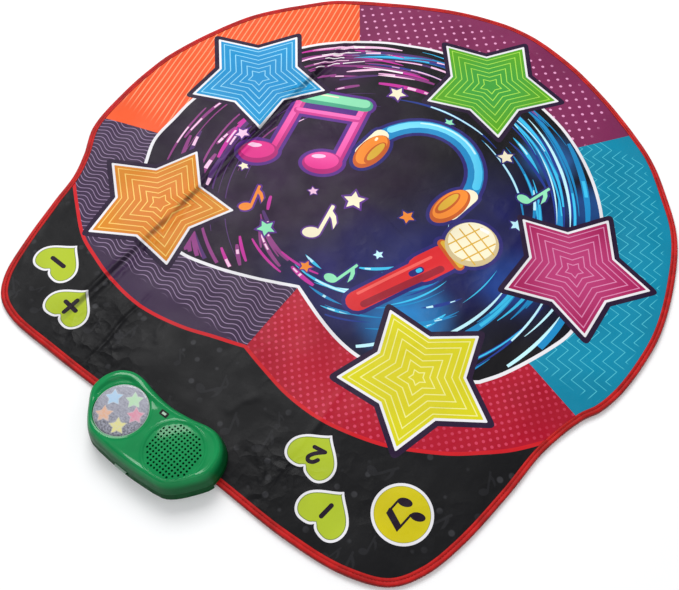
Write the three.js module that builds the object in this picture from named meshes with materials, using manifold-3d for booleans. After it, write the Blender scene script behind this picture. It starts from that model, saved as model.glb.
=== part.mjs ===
// Electronic dance mat: a flat padded floor mat with ten pressure pads and a sound unit on its front edge.
// Millimetres, +Z up, +Y towards the back of the mat. The origin lies on the underside of the mat,
// at the centre of its round dancing field.
import * as THREE from "three";
import { mergeVertices } from "three/addons/utils/BufferGeometryUtils.js";
import Module from "manifold-3d";

const wasm = await Module();
wasm.setup();

// Mat, seen from above
const matHalfWidth = 450;
const matBackReach = 461;
const matFrontReach = 468.5;
const stepsPerSpan = 2;

// Mat layers, from the floor up
const baseThickness = 1.2;
const filmThickness = 0.3;
const foamThickness = 1.6;
const topThickness = 2.6;
const tapeThickness = 0.6;
const tapeFold = 1.2;
const tapeWidth = 10;
const tapeRound = 0.8;

// Clearances
const fitGap = 0.3;
const padGap = 0.5;
const overrun = 1;

// Pads
const padThickness = 1.2;
const padTravel = 1;
const starTipRound = 3;
const starTipSteps = 2;
const heartSteps = 4;
const noteSides = 28;
const starPuckRadius = 28;
const heartPuckRadius = 13;
const puckSides = 12;

// Sound unit, seen from above
const unitX = -8;
const unitHalfLength = 101.5;
const unitHalfDepth = 52.75;
const unitLead = 1.25;

// Sound unit, heights and walls
const unitHeight = 40;
const partingHeight = 14;
const shoulderInset = 11;
const shellWall = 2.4;
const floorThickness = 2.6;
const stepLead = 2;

// Star window
const lensRadius = 34.8;
const lensThickness = 2.4;
const lensBevel = 1.2;
const windowDepth = 4.5;
const windowLedge = 4.4;
const windowWall = 2;
const inlayTip = 9.6;
const inlayNotch = 4.8;
const inlayDepth = 0.5;
const inlayCircle = 19;
const roundSides = 40;

// Perforated speaker dome
const domeRadius = 36;
const domeRimDrop = 1.6;
const domeCrown = 0.2;
const domeWall = 2;
const domeFlatShare = 0.8;
const domeSides = 20;
const perforationRadius = 1.3;
const perforationPitch = 4.9;
const perforatedRadius = 34.6;
const perforationSides = 5;

// Indicator window
const indicatorLength = 8.5;
const indicatorDepth = 3.8;
const indicatorBorder = 1.1;
const indicatorFlange = 1.1;
const indicatorSink = 0.5;

// Circuit board
const boardLength = 64;
const boardDepth = 46;
const boardThickness = 1.6;
const boardTop = 25.6;
const boardPostRadius = 2.2;
const boardScrewShaft = 1;
const boardScrewHead = 2.2;
const boardScrewHeadHeight = 1.4;
const boardScrewLength = 7;
const boardPilot = 1.3;
const boardPostX = 27;
const boardPostY = 19;
const ledRadius = 2.5;
const ledHeight = 5;
const chipSize = 9;
const chipHeight = 1.6;
const chipX = 20;
const connectorLength = 15;
const connectorDepth = 3.6;
const connectorHeight = 4;

// Speaker
const speakerRadius = 28.5;
const speakerTop = 34.5;
const speakerFlange = 2;
const speakerFlangeWidth = 7;
const basketDepth = 12.5;
const basketFoot = 13;
const basketWall = 1.5;
const coneThickness = 0.6;
const coneCapRadius = 8;
const coneCapRise = 2.4;
const magnetRadius = 14;
const magnetHeight = 7;
const speakerSeatWidth = 3.2;
const speakerRimWall = 1.5;
const speakerRimDepth = 4;
const speakerSides = 24;

// Cells and their bay
const cellRadius = 5.25;
const cellLength = 43.3;
const cellNub = 1.2;
const cellNubRadius = 1.9;
const cellCount = 3;
const cellPitch = 10.9;
const cellSides = 16;
const bayLength = 50;
const bayDepth = 33;
const bayWall = 1.5;
const bayRoof = 1.5;
const bayHeadroom = 0.6;
const bayXShare = -0.394;
const plateThickness = 0.5;
const plateMargin = 1;
const springRadius = 3.4;
const springTip = 2.2;

// Cell door
const doorThickness = 1.5;
const doorLedge = 2.4;
const doorTongue = 8;
const doorTab = 2;
const doorTabWidth = 7;
const doorTabSpread = 9;
const doorTabThickness = 0.8;
const doorGap = 0.4;
const doorScrewRadius = 1.1;
const doorScrewHead = 2.4;
const doorScrewHeadHeight = 0.9;
const doorScrewLength = 4.2;
const doorBossRadius = 3.6;
const doorBossHeight = 4.4;
const doorBossHole = 1.8;

// Power switch
const switchX = -11;
const slotLength = 22;
const slotHeight = 6.4;
const slotBottom = 5.4;
const sliderLength = 17;
const sliderHeight = 5.6;
const sliderProud = 0.8;
const sliderStem = 4;
const sliderRibs = 5;
const sliderRibWidth = 1;
const sliderTravel = 4;
const switchBodyLength = 16;
const switchBodyDepth = 6.5;

// Shell screws and mat clamps
const screwPostRadius = 3.8;
const screwPilot = 1.6;
const screwShaft = 1.3;
const screwHead = 2.8;
const screwHeadHeight = 1.6;
const screwBite = 9;
const screwSides = 12;
const clampFlange = 6.5;
const clampFlangeHeight = 0.6;
const clampHeadHeight = 0.5;
const clampHole = 2;
const clampFootRadius = 6;

// Contact tail of the films
const tailWidth = 12;
const tailThickness = 0.4;
const tailSlotDepth = 1.6;
const tailXShare = 0.13;

// Wires
const wireRadius = 0.6;
const wireSides = 6;
const wireSteps = 10;

// Sizes of the pads. Stars and the note take theirs from the mat's mean reach, hearts from its
// half width and front reach.
const starTipShare = 0.25253;
const starNotchShare = 0.15086;
const noteRadiusShare = 0.08418;
const heartWidthShare = 0.16444;
const heartHeightShare = 0.13234;

// Outline of the mat, anticlockwise from its right-hand side: x as shares of the half width,
// y as shares of the back or front reach.
const matOutlineShares = [
  [1, 0], [0.996, 0.119], [0.956, 0.293], [0.889, 0.466], [0.778, 0.614], [0.667, 0.725],
  [0.444, 0.868], [0.222, 0.965], [0, 1], [-0.222, 0.965], [-0.444, 0.868], [-0.667, 0.725],
  [-0.778, 0.614], [-0.889, 0.466], [-0.956, 0.293], [-0.996, 0.119], [-1, 0], [-0.991, -0.128],
  [-0.962, -0.299], [-0.9, -0.406], [-0.862, -0.491], [-0.84, -0.598], [-0.8, -0.751],
  [-0.753, -0.875], [-0.7, -0.935], [-0.622, -0.965], [-0.444, -0.977], [-0.133, -0.984],
  [0.222, -0.995], [0.444, -0.999], [0.622, -0.98], [0.733, -0.935], [0.789, -0.86],
  [0.827, -0.747], [0.858, -0.566], [0.876, -0.406], [0.922, -0.267], [0.956, -0.213],
  [0.984, -0.128],
];

// Outline of the sound unit's right-hand half from front to back, as shares of its half length
// and half depth. The left-hand half mirrors it.
const unitOutlineShares = [
  [0, -1], [0.296, -0.976], [0.571, -0.915], [0.67, -0.82], [0.768, -0.649], [0.867, -0.422],
  [0.966, -0.156], [0.997, 0.01], [1, 0.223], [0.966, 0.512], [0.867, 0.796], [0.7, 0.976],
  [0.542, 1], [0.3, 0.91], [0, 0.853],
];

// Side of the sound unit from the floor up: shares of the shoulder inset and of the height.
const unitSideShares = [
  [0, 0], [0.13, 0.35], [0.28, 0.6], [0.45, 0.8], [0.63, 0.912], [0.83, 0.98], [1, 1],
];

// Right-hand half of a heart from its tip to the notch between its lobes: corners of three
// curves, each with the two handles before its end, as shares of the width and height.
const heartCurveShares = [
  [[0, 0], [0.2, -0.04], [0.5, -0.3], [0.5, -0.64]],
  [[0.5, -0.64], [0.5, -0.86], [0.38, -1], [0.25, -1]],
  [[0.25, -1], [0.12, -1], [0.03, -0.92], [0, -0.83]],
];

// Pads: name, kind, centre or heart tip as shares of the mat's reach, turn in degrees, colour.
const padTable = [
  { name: "green_star", kind: "star", at: [0.042, 0.692], turn: 90.5, colour: 0x63ae26 },
  { name: "blue_star", kind: "star", at: [-0.664, 0.223], turn: 93.4, colour: 0x2fa0de },
  { name: "pink_star", kind: "star", at: [0.667, 0.169], turn: 89.8, colour: 0xc8397c },
  { name: "yellow_star", kind: "star", at: [0.473, -0.423], turn: 72, colour: 0xd8d422 },
  { name: "orange_star", kind: "star", at: [-0.562, -0.401], turn: 101, colour: 0xea9a30 },
  { name: "minus_heart", kind: "heart", at: [-0.662, -0.672], turn: 2, colour: 0xbccc3a },
  { name: "plus_heart", kind: "heart", at: [-0.518, -0.766], turn: 1, colour: 0xbccc3a },
  { name: "two_heart", kind: "heart", at: [0.372, -0.709], turn: -3, colour: 0xbccc3a },
  { name: "one_heart", kind: "heart", at: [0.49, -0.815], turn: -2, colour: 0xbccc3a },
  { name: "note", kind: "note", at: [0.658, -0.773], turn: 0, colour: 0xdcd022 },
];

// Places in the sound unit, as shares of its half length and half depth
const windowShare = [-0.438, -0.014];
const domeShare = [0.428, -0.043];
const indicatorShare = [0.02, 0.507];
const clampShares = [[-0.828, 0.564], [0.828, 0.564]];
const frontScrewShares = [[-0.394, -0.801], [0.394, -0.801]];
const inlayTurnShares = [0.22, 0.47, 0.05, 0.65, 0.84];
const ledNames = ["green", "blue", "pink", "orange", "yellow"];

// Route of the speaker's wires, chosen by hand: shares of the way from the board to the speaker,
// then offsets from the unit's middle line and heights.
const speakerWireShares = [0, 0.2, 0.51, 0.82, 1];
const speakerWireOffsets = [[-10.25, 23], [-11.25, 20], [-9.25, 19], [-7.25, 21.5], [-6.25, 24]];
const speakerWireStart = 3.5;
const speakerWireEnd = 20.2;

// Route of the cells' wires, chosen by hand: offsets from the wall of their bay and from the
// unit's middle line, and heights.
const cellWireRoute = [
  [0, -22.25, 12], [3.6, -22.25, 15], [4.6, -19.25, 19.5], [0.6, -16.25, 22.2], [-5.4, -16.25, 23],
];
const wirePairSpacing = 1.1;

const degree = Math.PI / 180;
const tapeTop = matTopHeight() + tapeThickness;
const meanReach = (2 * matHalfWidth + matBackReach + matFrontReach) / 4;
const starTip = starTipShare * meanReach;
const starNotch = starNotchShare * meanReach;
const noteRadius = noteRadiusShare * meanReach;
const heartWidth = heartWidthShare * matHalfWidth;
const heartHeight = heartHeightShare * matFrontReach;

// Heights in the mat's layers
function lowerFilmTop() {
  return baseThickness + filmThickness;
}

function foamTop() {
  return lowerFilmTop() + foamThickness;
}

function upperFilmTop() {
  return foamTop() + filmThickness;
}

function matTopHeight() {
  return upperFilmTop() + topThickness;
}

// Plan places
function matPlace([xShare, yShare]) {
  return new THREE.Vector2(xShare * matHalfWidth, yShare * (yShare < 0 ? matFrontReach : matBackReach));
}

function unitPlace([xShare, yShare]) {
  return new THREE.Vector2(unitX + xShare * unitHalfLength, unitY() + yShare * unitHalfDepth);
}

function unitY() {
  return -(matFrontReach + unitLead);
}

function stepY() {
  return -(matFrontReach + stepLead);
}

// Solids from closed geometries, with shared vertices merged and faces turned outward
function solid(geometry) {
  const bare = geometry.clone();
  bare.deleteAttribute("normal");
  bare.deleteAttribute("uv");
  const merged = mergeVertices(bare);
  const vertProperties = new Float32Array(merged.getAttribute("position").array);
  const triVerts = new Uint32Array(merged.index.array);
  if (signedVolume(vertProperties, triVerts) < 0) triVerts.reverse();
  return new wasm.Manifold(new wasm.Mesh({ numProp: 3, vertProperties, triVerts }));
}

function signedVolume(places, corners) {
  const [a, b, c] = [new THREE.Vector3(), new THREE.Vector3(), new THREE.Vector3()];
  let sum = 0;
  for (let i = 0; i < corners.length; i += 3) {
    a.fromArray(places, 3 * corners[i]);
    b.fromArray(places, 3 * corners[i + 1]);
    c.fromArray(places, 3 * corners[i + 2]);
    sum += a.dot(b.cross(c));
  }
  return sum;
}

function geometryOf(body) {
  const mesh = body.getMesh();
  const geometry = new THREE.BufferGeometry();
  geometry.setAttribute("position", new THREE.BufferAttribute(mesh.vertProperties, mesh.numProp));
  geometry.setIndex(new THREE.BufferAttribute(mesh.triVerts, 1));
  const flat = geometry.toNonIndexed();
  flat.computeVertexNormals();
  return flat;
}

function joined(bodies) {
  return bodies.reduce((sum, next) => sum.add(next));
}

function cut(body, cutters) {
  return cutters.reduce((left, next) => left.subtract(next), body);
}

function block([x0, x1], [y0, y1], [z0, z1]) {
  const box = new THREE.BoxGeometry(x1 - x0, y1 - y0, z1 - z0);
  box.translate((x0 + x1) / 2, (y0 + y1) / 2, (z0 + z1) / 2);
  return solid(box);
}

function rod(centre, radius, [z0, z1], sides = screwSides) {
  const cylinder = new THREE.CylinderGeometry(radius, radius, z1 - z0, sides);
  cylinder.rotateX(Math.PI / 2);
  cylinder.translate(centre.x, centre.y, (z0 + z1) / 2);
  return solid(cylinder);
}

function rodAlongX([x0, x1], y, z, radius, sides) {
  const cylinder = new THREE.CylinderGeometry(radius, radius, x1 - x0, sides);
  cylinder.rotateZ(Math.PI / 2);
  cylinder.translate((x0 + x1) / 2, y, z);
  return solid(cylinder);
}

// A turned piece: the profile's points are [radius, height]
function turned(centre, profile, sides) {
  const points = profile.map(([radius, height]) => new THREE.Vector2(radius, height));
  const lathe = new THREE.LatheGeometry(points, sides);
  lathe.rotateX(Math.PI / 2);
  lathe.translate(centre.x, centre.y, 0);
  return solid(lathe);
}

// A flat plate with an outline and holes, between two heights
function plate(outline, [z0, z1], holes = []) {
  const shape = new THREE.Shape(outline);
  holes.forEach((hole) => shape.holes.push(new THREE.Path(hole)));
  const sheet = new THREE.ExtrudeGeometry(shape, { depth: z1 - z0, bevelEnabled: false });
  sheet.translate(0, 0, z0);
  return solid(sheet);
}

// A body lofted through level rings of equal count, each {outline, z}
function loft(levels) {
  const count = levels[0].outline.length;
  const places = levels.flatMap(({ outline, z }) => outline.flatMap((point) => [point.x, point.y, z]));
  const corners = [];
  for (let level = 0; level + 1 < levels.length; level++) {
    for (let i = 0; i < count; i++) {
      const a = level * count + i;
      const b = level * count + ((i + 1) % count);
      corners.push(a, b, b + count, a, b + count, a + count);
    }
  }
  const top = (levels.length - 1) * count;
  THREE.ShapeUtils.triangulateShape(levels[0].outline, []).forEach(([a, b, c]) => corners.push(a, c, b));
  THREE.ShapeUtils.triangulateShape(levels.at(-1).outline, [])
    .forEach(([a, b, c]) => corners.push(top + a, top + b, top + c));
  return solid(indexed(places, corners));
}

function indexed(places, corners) {
  const geometry = new THREE.BufferGeometry();
  geometry.setAttribute("position", new THREE.Float32BufferAttribute(places, 3));
  geometry.setIndex(corners);
  return geometry;
}

// A closed section swept round an outline: its points are [inset, height]
function sweptRound(outline, section) {
  const rings = section.map(([inset, z]) => inward(outline, inset).map((point) => [point.x, point.y, z]));
  const count = outline.length;
  const corners = [];
  section.forEach((_, row) => {
    const next = (row + 1) % section.length;
    for (let i = 0; i < count; i++) {
      const j = (i + 1) % count;
      corners.push(row * count + i, row * count + j, next * count + j);
      corners.push(row * count + i, next * count + j, next * count + i);
    }
  });
  return solid(indexed(rings.flat(2), corners));
}

// Outlines
function spline(points) {
  const places = points.map((point) => new THREE.Vector3(point.x, point.y, 0));
  const curve = new THREE.CatmullRomCurve3(places, true, "centripetal");
  const steps = points.length * stepsPerSpan;
  return curve.getPoints(steps).slice(0, steps).map((place) => new THREE.Vector2(place.x, place.y));
}

// An anticlockwise outline moved inward, square to itself
function inward(outline, distance) {
  const count = outline.length;
  return outline.map((point, i) => {
    const ahead = outline[(i + 1) % count].clone().sub(outline[(i + count - 1) % count]).normalize();
    return new THREE.Vector2(point.x - ahead.y * distance, point.y + ahead.x * distance);
  });
}

function circle(centre, radius, sides) {
  return Array.from({ length: sides }, (_, i) => {
    const turn = (i / sides) * 2 * Math.PI;
    return new THREE.Vector2(centre.x + radius * Math.cos(turn), centre.y + radius * Math.sin(turn));
  });
}

function rectangle([x0, x1], [y0, y1]) {
  return [[x0, y0], [x1, y0], [x1, y1], [x0, y1]].map(([x, y]) => new THREE.Vector2(x, y));
}

function star(centre, tip, notch, turn) {
  return Array.from({ length: 10 }, (_, i) => {
    const radius = i % 2 ? notch : tip;
    const angle = turn * degree + (i * Math.PI) / 5;
    return new THREE.Vector2(centre.x + radius * Math.cos(angle), centre.y + radius * Math.sin(angle));
  });
}

function roundedStar(centre, turn) {
  const corners = star(centre, starTip, starNotch, turn);
  return corners.flatMap((corner, i) => (i % 2 ? [corner] : roundedTip(corners, i)));
}

function roundedTip(corners, i) {
  const tip = corners[i];
  const [before, after] = [corners[(i + 9) % 10], corners[(i + 1) % 10]].map((end) =>
    tip.clone().add(end.clone().sub(tip).setLength(starTipRound)));
  return new THREE.QuadraticBezierCurve(before, tip, after).getPoints(starTipSteps);
}

function heart(tip, turn) {
  const half = heartCurveShares.flatMap((curve) => heartCurve(curve).slice(0, -1));
  const notch = heartCurveShares.at(-1).at(-1);
  const bottom = new THREE.Vector2(notch[0] * heartWidth, notch[1] * heartHeight);
  const other = half.slice(1).map((point) => new THREE.Vector2(-point.x, point.y));
  const clockwise = [...half, bottom, ...other.reverse()];
  const zero = new THREE.Vector2();
  return clockwise.reverse().map((point) => point.clone().rotateAround(zero, turn * degree).add(tip));
}

function heartCurve(shares) {
  const handles = shares.map(([x, y]) => new THREE.Vector2(x * heartWidth, y * heartHeight));
  return new THREE.CubicBezierCurve(...handles).getPoints(heartSteps);
}

function padOutline({ kind, at, turn }) {
  const place = matPlace(at);
  if (kind === "star") return roundedStar(place, turn);
  if (kind === "heart") return heart(place, turn);
  return circle(place, noteRadius, noteSides);
}

function puckPlace({ kind, at, turn }) {
  const place = matPlace(at);
  if (kind !== "heart") return place;
  const middle = new THREE.Vector2(0, -heartHeight / 2).rotateAround(new THREE.Vector2(), turn * degree);
  return place.add(middle);
}

function puckRadius({ kind }) {
  return kind === "star" ? starPuckRadius : heartPuckRadius;
}

const matOutline = spline(matOutlineShares.map(matPlace));
const unitOutline = spline(unitOutlinePoints());

function unitOutlinePoints() {
  const right = unitOutlineShares.map(unitPlace);
  const left = unitOutlineShares.slice(1, -1).map(([x, y]) => unitPlace([-x, y])).reverse();
  return [...right, ...left];
}

// Parts, collected by name
const danceMat = new THREE.Group();
danceMat.name = "dance_mat";

function addPart(name, body, colour, roughness, metalness = 0) {
  const material = new THREE.MeshStandardMaterial({ color: colour, roughness, metalness });
  const mesh = new THREE.Mesh(geometryOf(body), material);
  mesh.name = name;
  danceMat.add(mesh);
}

// Mat layers
const clampPlaces = clampShares.map(unitPlace);
const frontScrewPlaces = frontScrewShares.map(unitPlace);

function clampHoles(radius) {
  return clampPlaces.map((place) => circle(place, radius, screwSides));
}

function puckHoles() {
  return padTable.map((pad) => circle(puckPlace(pad), puckRadius(pad) + padGap, puckSides));
}

function tailRange(extra = 0) {
  const middle = windowPlace.x + tailXShare * unitHalfLength;
  return [middle - tailWidth / 2 - extra, middle + tailWidth / 2 + extra];
}

function tailY() {
  return windowPlace.y + boardDepth / 2 + tailThickness;
}

function tailSlot() {
  return rectangle(tailRange(fitGap), [tailY() - tailSlotDepth / 2, tailY() + tailSlotDepth / 2]);
}

const windowPlace = unitPlace(windowShare);

function addMatLayers() {
  const edge = tapeFold + fitGap;
  const inner = inward(matOutline, edge);
  const foot = inward(matOutline, tapeWidth + fitGap);
  const base = loft([
    { outline: foot, z: 0 },
    { outline: foot, z: tapeThickness },
    { outline: inner, z: tapeThickness },
    { outline: inner, z: baseThickness },
  ]);
  const pockets = clampPlaces.map((place) =>
    rod(place, clampFlange + fitGap, [-overrun, baseThickness + overrun]));
  addPart("base_sheet", cut(base, pockets), 0x1b1b1d, 0.9);
  const flangeHoles = clampHoles(clampFlange + fitGap);
  addPart("lower_contact_film", plate(inner, [baseThickness, lowerFilmTop()], flangeHoles), 0xb9bec4, 0.4);
  const innerHoles = [...puckHoles(), ...clampHoles(clampHole)];
  addPart("spacer_foam", plate(inner, [lowerFilmTop(), foamTop()], innerHoles), 0xe6e3da, 0.95);
  const filmHoles = [...innerHoles, tailSlot()];
  addPart("upper_contact_film", plate(inner, [foamTop(), upperFilmTop()], filmHoles), 0xb9bec4, 0.4);
  const padHoles = padTable.map(padOutline);
  const topHoles = [...padHoles, ...clampHoles(clampHole), tailSlot()];
  addPart("top_sheet", plate(inner, [upperFilmTop(), matTopHeight()], topHoles), 0x282827, 0.45);
}

function addBinding() {
  const section = [
    [tapeWidth, 0], [tapeRound, 0], [0, tapeRound], [0, tapeTop - tapeRound], [tapeRound, tapeTop],
    [tapeWidth, tapeTop], [tapeWidth, tapeTop - tapeThickness], [tapeFold, tapeTop - tapeThickness],
    [tapeFold, tapeThickness], [tapeWidth, tapeThickness],
  ];
  addPart("edge_binding", sweptRound(matOutline, section), 0xd8201e, 0.55);
}

function addPads() {
  const padBottom = matTopHeight() - padThickness;
  const puckBottom = lowerFilmTop() + padTravel + fitGap;
  padTable.forEach((pad) => {
    const outline = inward(padOutline(pad), padGap);
    addPart(`${pad.name}_pad`, plate(outline, [padBottom, matTopHeight()]), pad.colour, 0.45);
    const puck = circle(puckPlace(pad), puckRadius(pad), puckSides);
    addPart(`${pad.name}_contact`, plate(puck, [puckBottom, padBottom]), 0x2a2a2c, 0.9);
  });
}

// Sound unit shells
function sideLevels(extraInset, from, to) {
  const inner = unitSideShares
    .map(([insetShare, heightShare]) => [insetShare * shoulderInset, heightShare * unitHeight])
    .filter(([, z]) => z > from && z < to);
  const ends = [from, to].map((z) => [sideInset(z), z]);
  return [ends[0], ...inner, ends[1]].map(([inset, z]) =>
    ({ outline: inward(unitOutline, inset + extraInset), z }));
}

function sideInset(height) {
  const levels = unitSideShares.map(([inset, z]) => [inset * shoulderInset, z * unitHeight]);
  const above = Math.min(Math.max(levels.findIndex(([, z]) => z >= height), 1), levels.length - 1);
  const [[inset0, z0], [inset1, z1]] = [levels[above - 1], levels[above]];
  return inset0 + ((inset1 - inset0) * (height - z0)) / (z1 - z0);
}

const ceiling = unitHeight - shellWall;
const ledgeTop = unitHeight - windowDepth;
const ledgeBottom = ledgeTop - windowWall;
const domePlace = unitPlace(domeShare);
const indicatorPlace = unitPlace(indicatorShare);
const rearFloor = tapeTop + fitGap;
const recessRadius = lensRadius + fitGap * 2;

// The hollow follows the outside at its foot, under the shoulder and at the ceiling
function upperCavity() {
  const levels = sideLevels(shellWall, partingHeight, ceiling);
  levels[0].z -= overrun;
  return loft([levels[0], ...levels.slice(-2)]);
}

// The dome is level in the middle and falls away towards its rim
function domeHeight(radius) {
  const flat = domeRadius * domeFlatShare;
  const fall = Math.max(radius - flat, 0) / (domeRadius - flat);
  return unitHeight + domeCrown - (domeCrown + domeRimDrop) * fall;
}

function speakerDome() {
  const radii = [0, domeRadius * domeFlatShare, domeRadius + domeWall / 2];
  const top = radii.map((radius) => [radius, domeHeight(radius)]).reverse();
  const under = radii.map((radius) => [radius, domeHeight(radius) - domeWall]);
  return turned(domePlace, [...under, ...top], domeSides);
}

function perforations() {
  const reach = Math.floor(perforatedRadius / perforationPitch);
  const holes = [];
  for (let row = -reach; row <= reach; row++) {
    for (let column = -reach; column <= reach; column++) {
      const offset = new THREE.Vector2(column * perforationPitch, row * perforationPitch);
      if (offset.length() + perforationRadius > perforatedRadius) continue;
      holes.push(circle(offset.add(domePlace), perforationRadius, perforationSides));
    }
  }
  return holes;
}

function perforationCutter() {
  const range = [ceiling - domeWall, unitHeight + overrun];
  return joined(perforations().map((outline) => plate(outline, range)));
}

function speakerSeat() {
  const range = [speakerTop, domeHeight(speakerRadius) - domeWall / 2];
  const rimRange = [speakerTop - speakerRimDepth, range[1]];
  const rimInner = speakerRadius + fitGap;
  const seatInner = speakerRadius - speakerSeatWidth;
  const seat = rod(domePlace, rimInner + fitGap, range, speakerSides)
    .subtract(rod(domePlace, seatInner, [range[0] - overrun, range[1] + overrun], speakerSides));
  const rim = rod(domePlace, rimInner + speakerRimWall, rimRange, speakerSides)
    .subtract(rod(domePlace, rimInner, [rimRange[0] - overrun, rimRange[1] + overrun], speakerSides));
  return seat.add(rim);
}

function boardPosts() {
  return [[-1, -1], [1, -1], [-1, 1], [1, 1]].map(([x, y]) =>
    windowPlace.clone().add(new THREE.Vector2(x * boardPostX, y * boardPostY)));
}

// The board is screwed to two of its four posts, at opposite corners
function boardScrewPlaces() {
  return boardPosts().filter((_, i) => i % 3 === 0);
}

function indicatorHole(border, [z0, z1]) {
  const halfLength = indicatorLength / 2 + border;
  const halfDepth = indicatorDepth / 2 + border;
  return block(
    [indicatorPlace.x - halfLength, indicatorPlace.x + halfLength],
    [indicatorPlace.y - halfDepth, indicatorPlace.y + halfDepth],
    [z0, z1],
  );
}

function addUpperShell() {
  const outer = loft(sideLevels(0, partingHeight, unitHeight));
  const hollow = outer.subtract(upperCavity());
  const well = rod(windowPlace, recessRadius + windowWall, [ledgeBottom, unitHeight], roundSides);
  const posts = [...clampPlaces, ...frontScrewPlaces].map((place) =>
    rod(place, screwPostRadius, [partingHeight, unitHeight]));
  const hangers = boardPosts().map((place) => rod(place, boardPostRadius, [boardTop, ledgeTop]));
  const inside = joined([well, ...posts, ...hangers]).intersect(outer);
  const recess = rod(windowPlace, recessRadius, [ledgeTop, unitHeight + overrun], roundSides);
  const light = rod(windowPlace, lensRadius - windowLedge, [0, unitHeight], roundSides);
  const dish = rod(domePlace, domeRadius, [0, unitHeight + overrun], roundSides);
  const pilots = [
    ...[...clampPlaces, ...frontScrewPlaces].map((place) =>
      rod(place, screwPilot, [0, partingHeight + screwBite + overrun])),
    ...boardPosts().map((place) => rod(place, boardPilot, [0, boardTop + boardScrewLength])),
  ];
  const body = cut(hollow.add(inside), [recess, light, dish]).add(speakerDome()).add(speakerSeat());
  const holes = [...pilots, perforationCutter(), indicatorHole(indicatorBorder, [0, unitHeight + overrun])];
  addPart("upper_shell", cut(body, holes), 0x1f8a4c, 0.35);
}

// Bay for the cells, in the front half of the lower shell
const bayX = unitX + bayXShare * unitHalfLength;
const bayXRange = [bayX - bayLength / 2, bayX + bayLength / 2];
const bayBack = stepY() - shellWall;
const bayYRange = [bayBack - bayDepth, bayBack];
const bayTop = floorThickness + 2 * cellRadius + bayHeadroom;
const doorXRange = [bayXRange[0] - doorLedge, bayXRange[1] + doorTongue];
const doorYRange = [bayYRange[0] - doorLedge, bayYRange[1] + doorLedge - shellWall / 2];
const doorBossPlace = new THREE.Vector2(
  doorXRange[1] - doorBossRadius - doorGap, (bayYRange[0] + bayYRange[1]) / 2);

function widened([low, high], by) {
  return [low - by, high + by];
}

function doorTabs(extra, [z0, z1]) {
  const middle = doorBossPlace.y;
  return [-doorTabSpread, doorTabSpread].map((spread) =>
    block(
      [doorXRange[0] - doorTab - extra, doorXRange[0] + overrun],
      widened([middle + spread - doorTabWidth / 2, middle + spread + doorTabWidth / 2], extra),
      [z0, z1],
    ));
}

function addBayTo(shell) {
  const roof = bayTop + bayRoof;
  const box = block(widened(bayXRange, bayWall), widened(bayYRange, bayWall), [overrun, roof]);
  const bossTop = doorThickness + doorGap + doorBossHeight;
  const boss = rod(doorBossPlace, doorBossRadius, [overrun, bossTop]);
  const inside = block(bayXRange, bayYRange, [-overrun, bayTop]);
  const recessTop = doorThickness + fitGap;
  const recess = block(widened(doorXRange, doorGap), widened(doorYRange, doorGap), [-overrun, recessTop]);
  const slotFloor = doorThickness - doorTabThickness - doorGap;
  const slots = doorTabs(doorGap, [slotFloor, floorThickness + overrun]);
  const hole = rod(doorBossPlace, doorBossHole, [-overrun, bossTop + overrun]);
  return cut(joined([shell, box, boss]), [inside, recess, ...slots, hole]);
}

function switchSlot() {
  return block(
    [switchX - slotLength / 2, switchX + slotLength / 2],
    [unitY() - unitHalfDepth - overrun, unitY() - unitHalfDepth + 2 * shellWall],
    [slotBottom, slotBottom + slotHeight],
  );
}

function switchWallY() {
  return unitY() - unitHalfDepth + sideInset(slotBottom) + shellWall + fitGap;
}

function switchSeat() {
  return block(
    [switchX - switchBodyLength / 2, switchX + switchBodyLength / 2],
    [switchWallY() - overrun, switchWallY() + switchBodyDepth],
    [overrun, slotBottom],
  );
}

function tailOpening() {
  const slot = [tailY() - tailSlotDepth / 2, tailY() + tailSlotDepth / 2];
  return block(tailRange(fitGap), slot, [0, partingHeight]);
}

function addLowerShell() {
  const outer = loft(sideLevels(0, 0, partingHeight));
  const far = 2 * unitHalfLength;
  const across = [unitX - far, unitX + far];
  const rearSpace = block(across, [stepY(), stepY() + far], [-overrun, rearFloor]);
  const levels = sideLevels(shellWall, 0, partingHeight);
  const cavity = loft(levels.map(({ outline, z }) => ({ outline, z: z + overrun })));
  const mouth = partingHeight + 2 * overrun;
  const front = cavity.intersect(block(across, [stepY() - far, bayBack], [floorThickness, mouth]));
  const rear = cavity.intersect(
    block(across, [bayBack - overrun, stepY() + far], [rearFloor + floorThickness, mouth]));
  const hollow = cut(outer, [rearSpace, front, rear]);
  const clampFeet = clampPlaces.map((place) =>
    rod(place, clampFootRadius, [matTopHeight(), rearFloor + overrun]));
  const clampBosses = clampPlaces.map((place) => rod(place, screwPostRadius, [rearFloor, partingHeight]));
  const frontBosses = frontScrewPlaces.map((place) => rod(place, screwPostRadius, [overrun, partingHeight]));
  const withBosses = joined([hollow, ...clampFeet, ...clampBosses, ...frontBosses, switchSeat()]);
  const clampBores = clampPlaces.map((place) => rod(place, screwPilot, [0, unitHeight]));
  const frontBores = frontScrewPlaces.map((place) => rod(place, screwPilot, [-overrun, unitHeight]));
  const heads = frontScrewPlaces.map((place) =>
    rod(place, screwHead + fitGap, [-overrun, screwHeadHeight + 2 * fitGap]));
  const holes = [...clampBores, ...frontBores, ...heads, switchSlot(), tailOpening()];
  const body = cut(addBayTo(withBosses), holes);
  addPart("lower_shell", body, 0x1f8a4c, 0.4);
}

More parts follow.
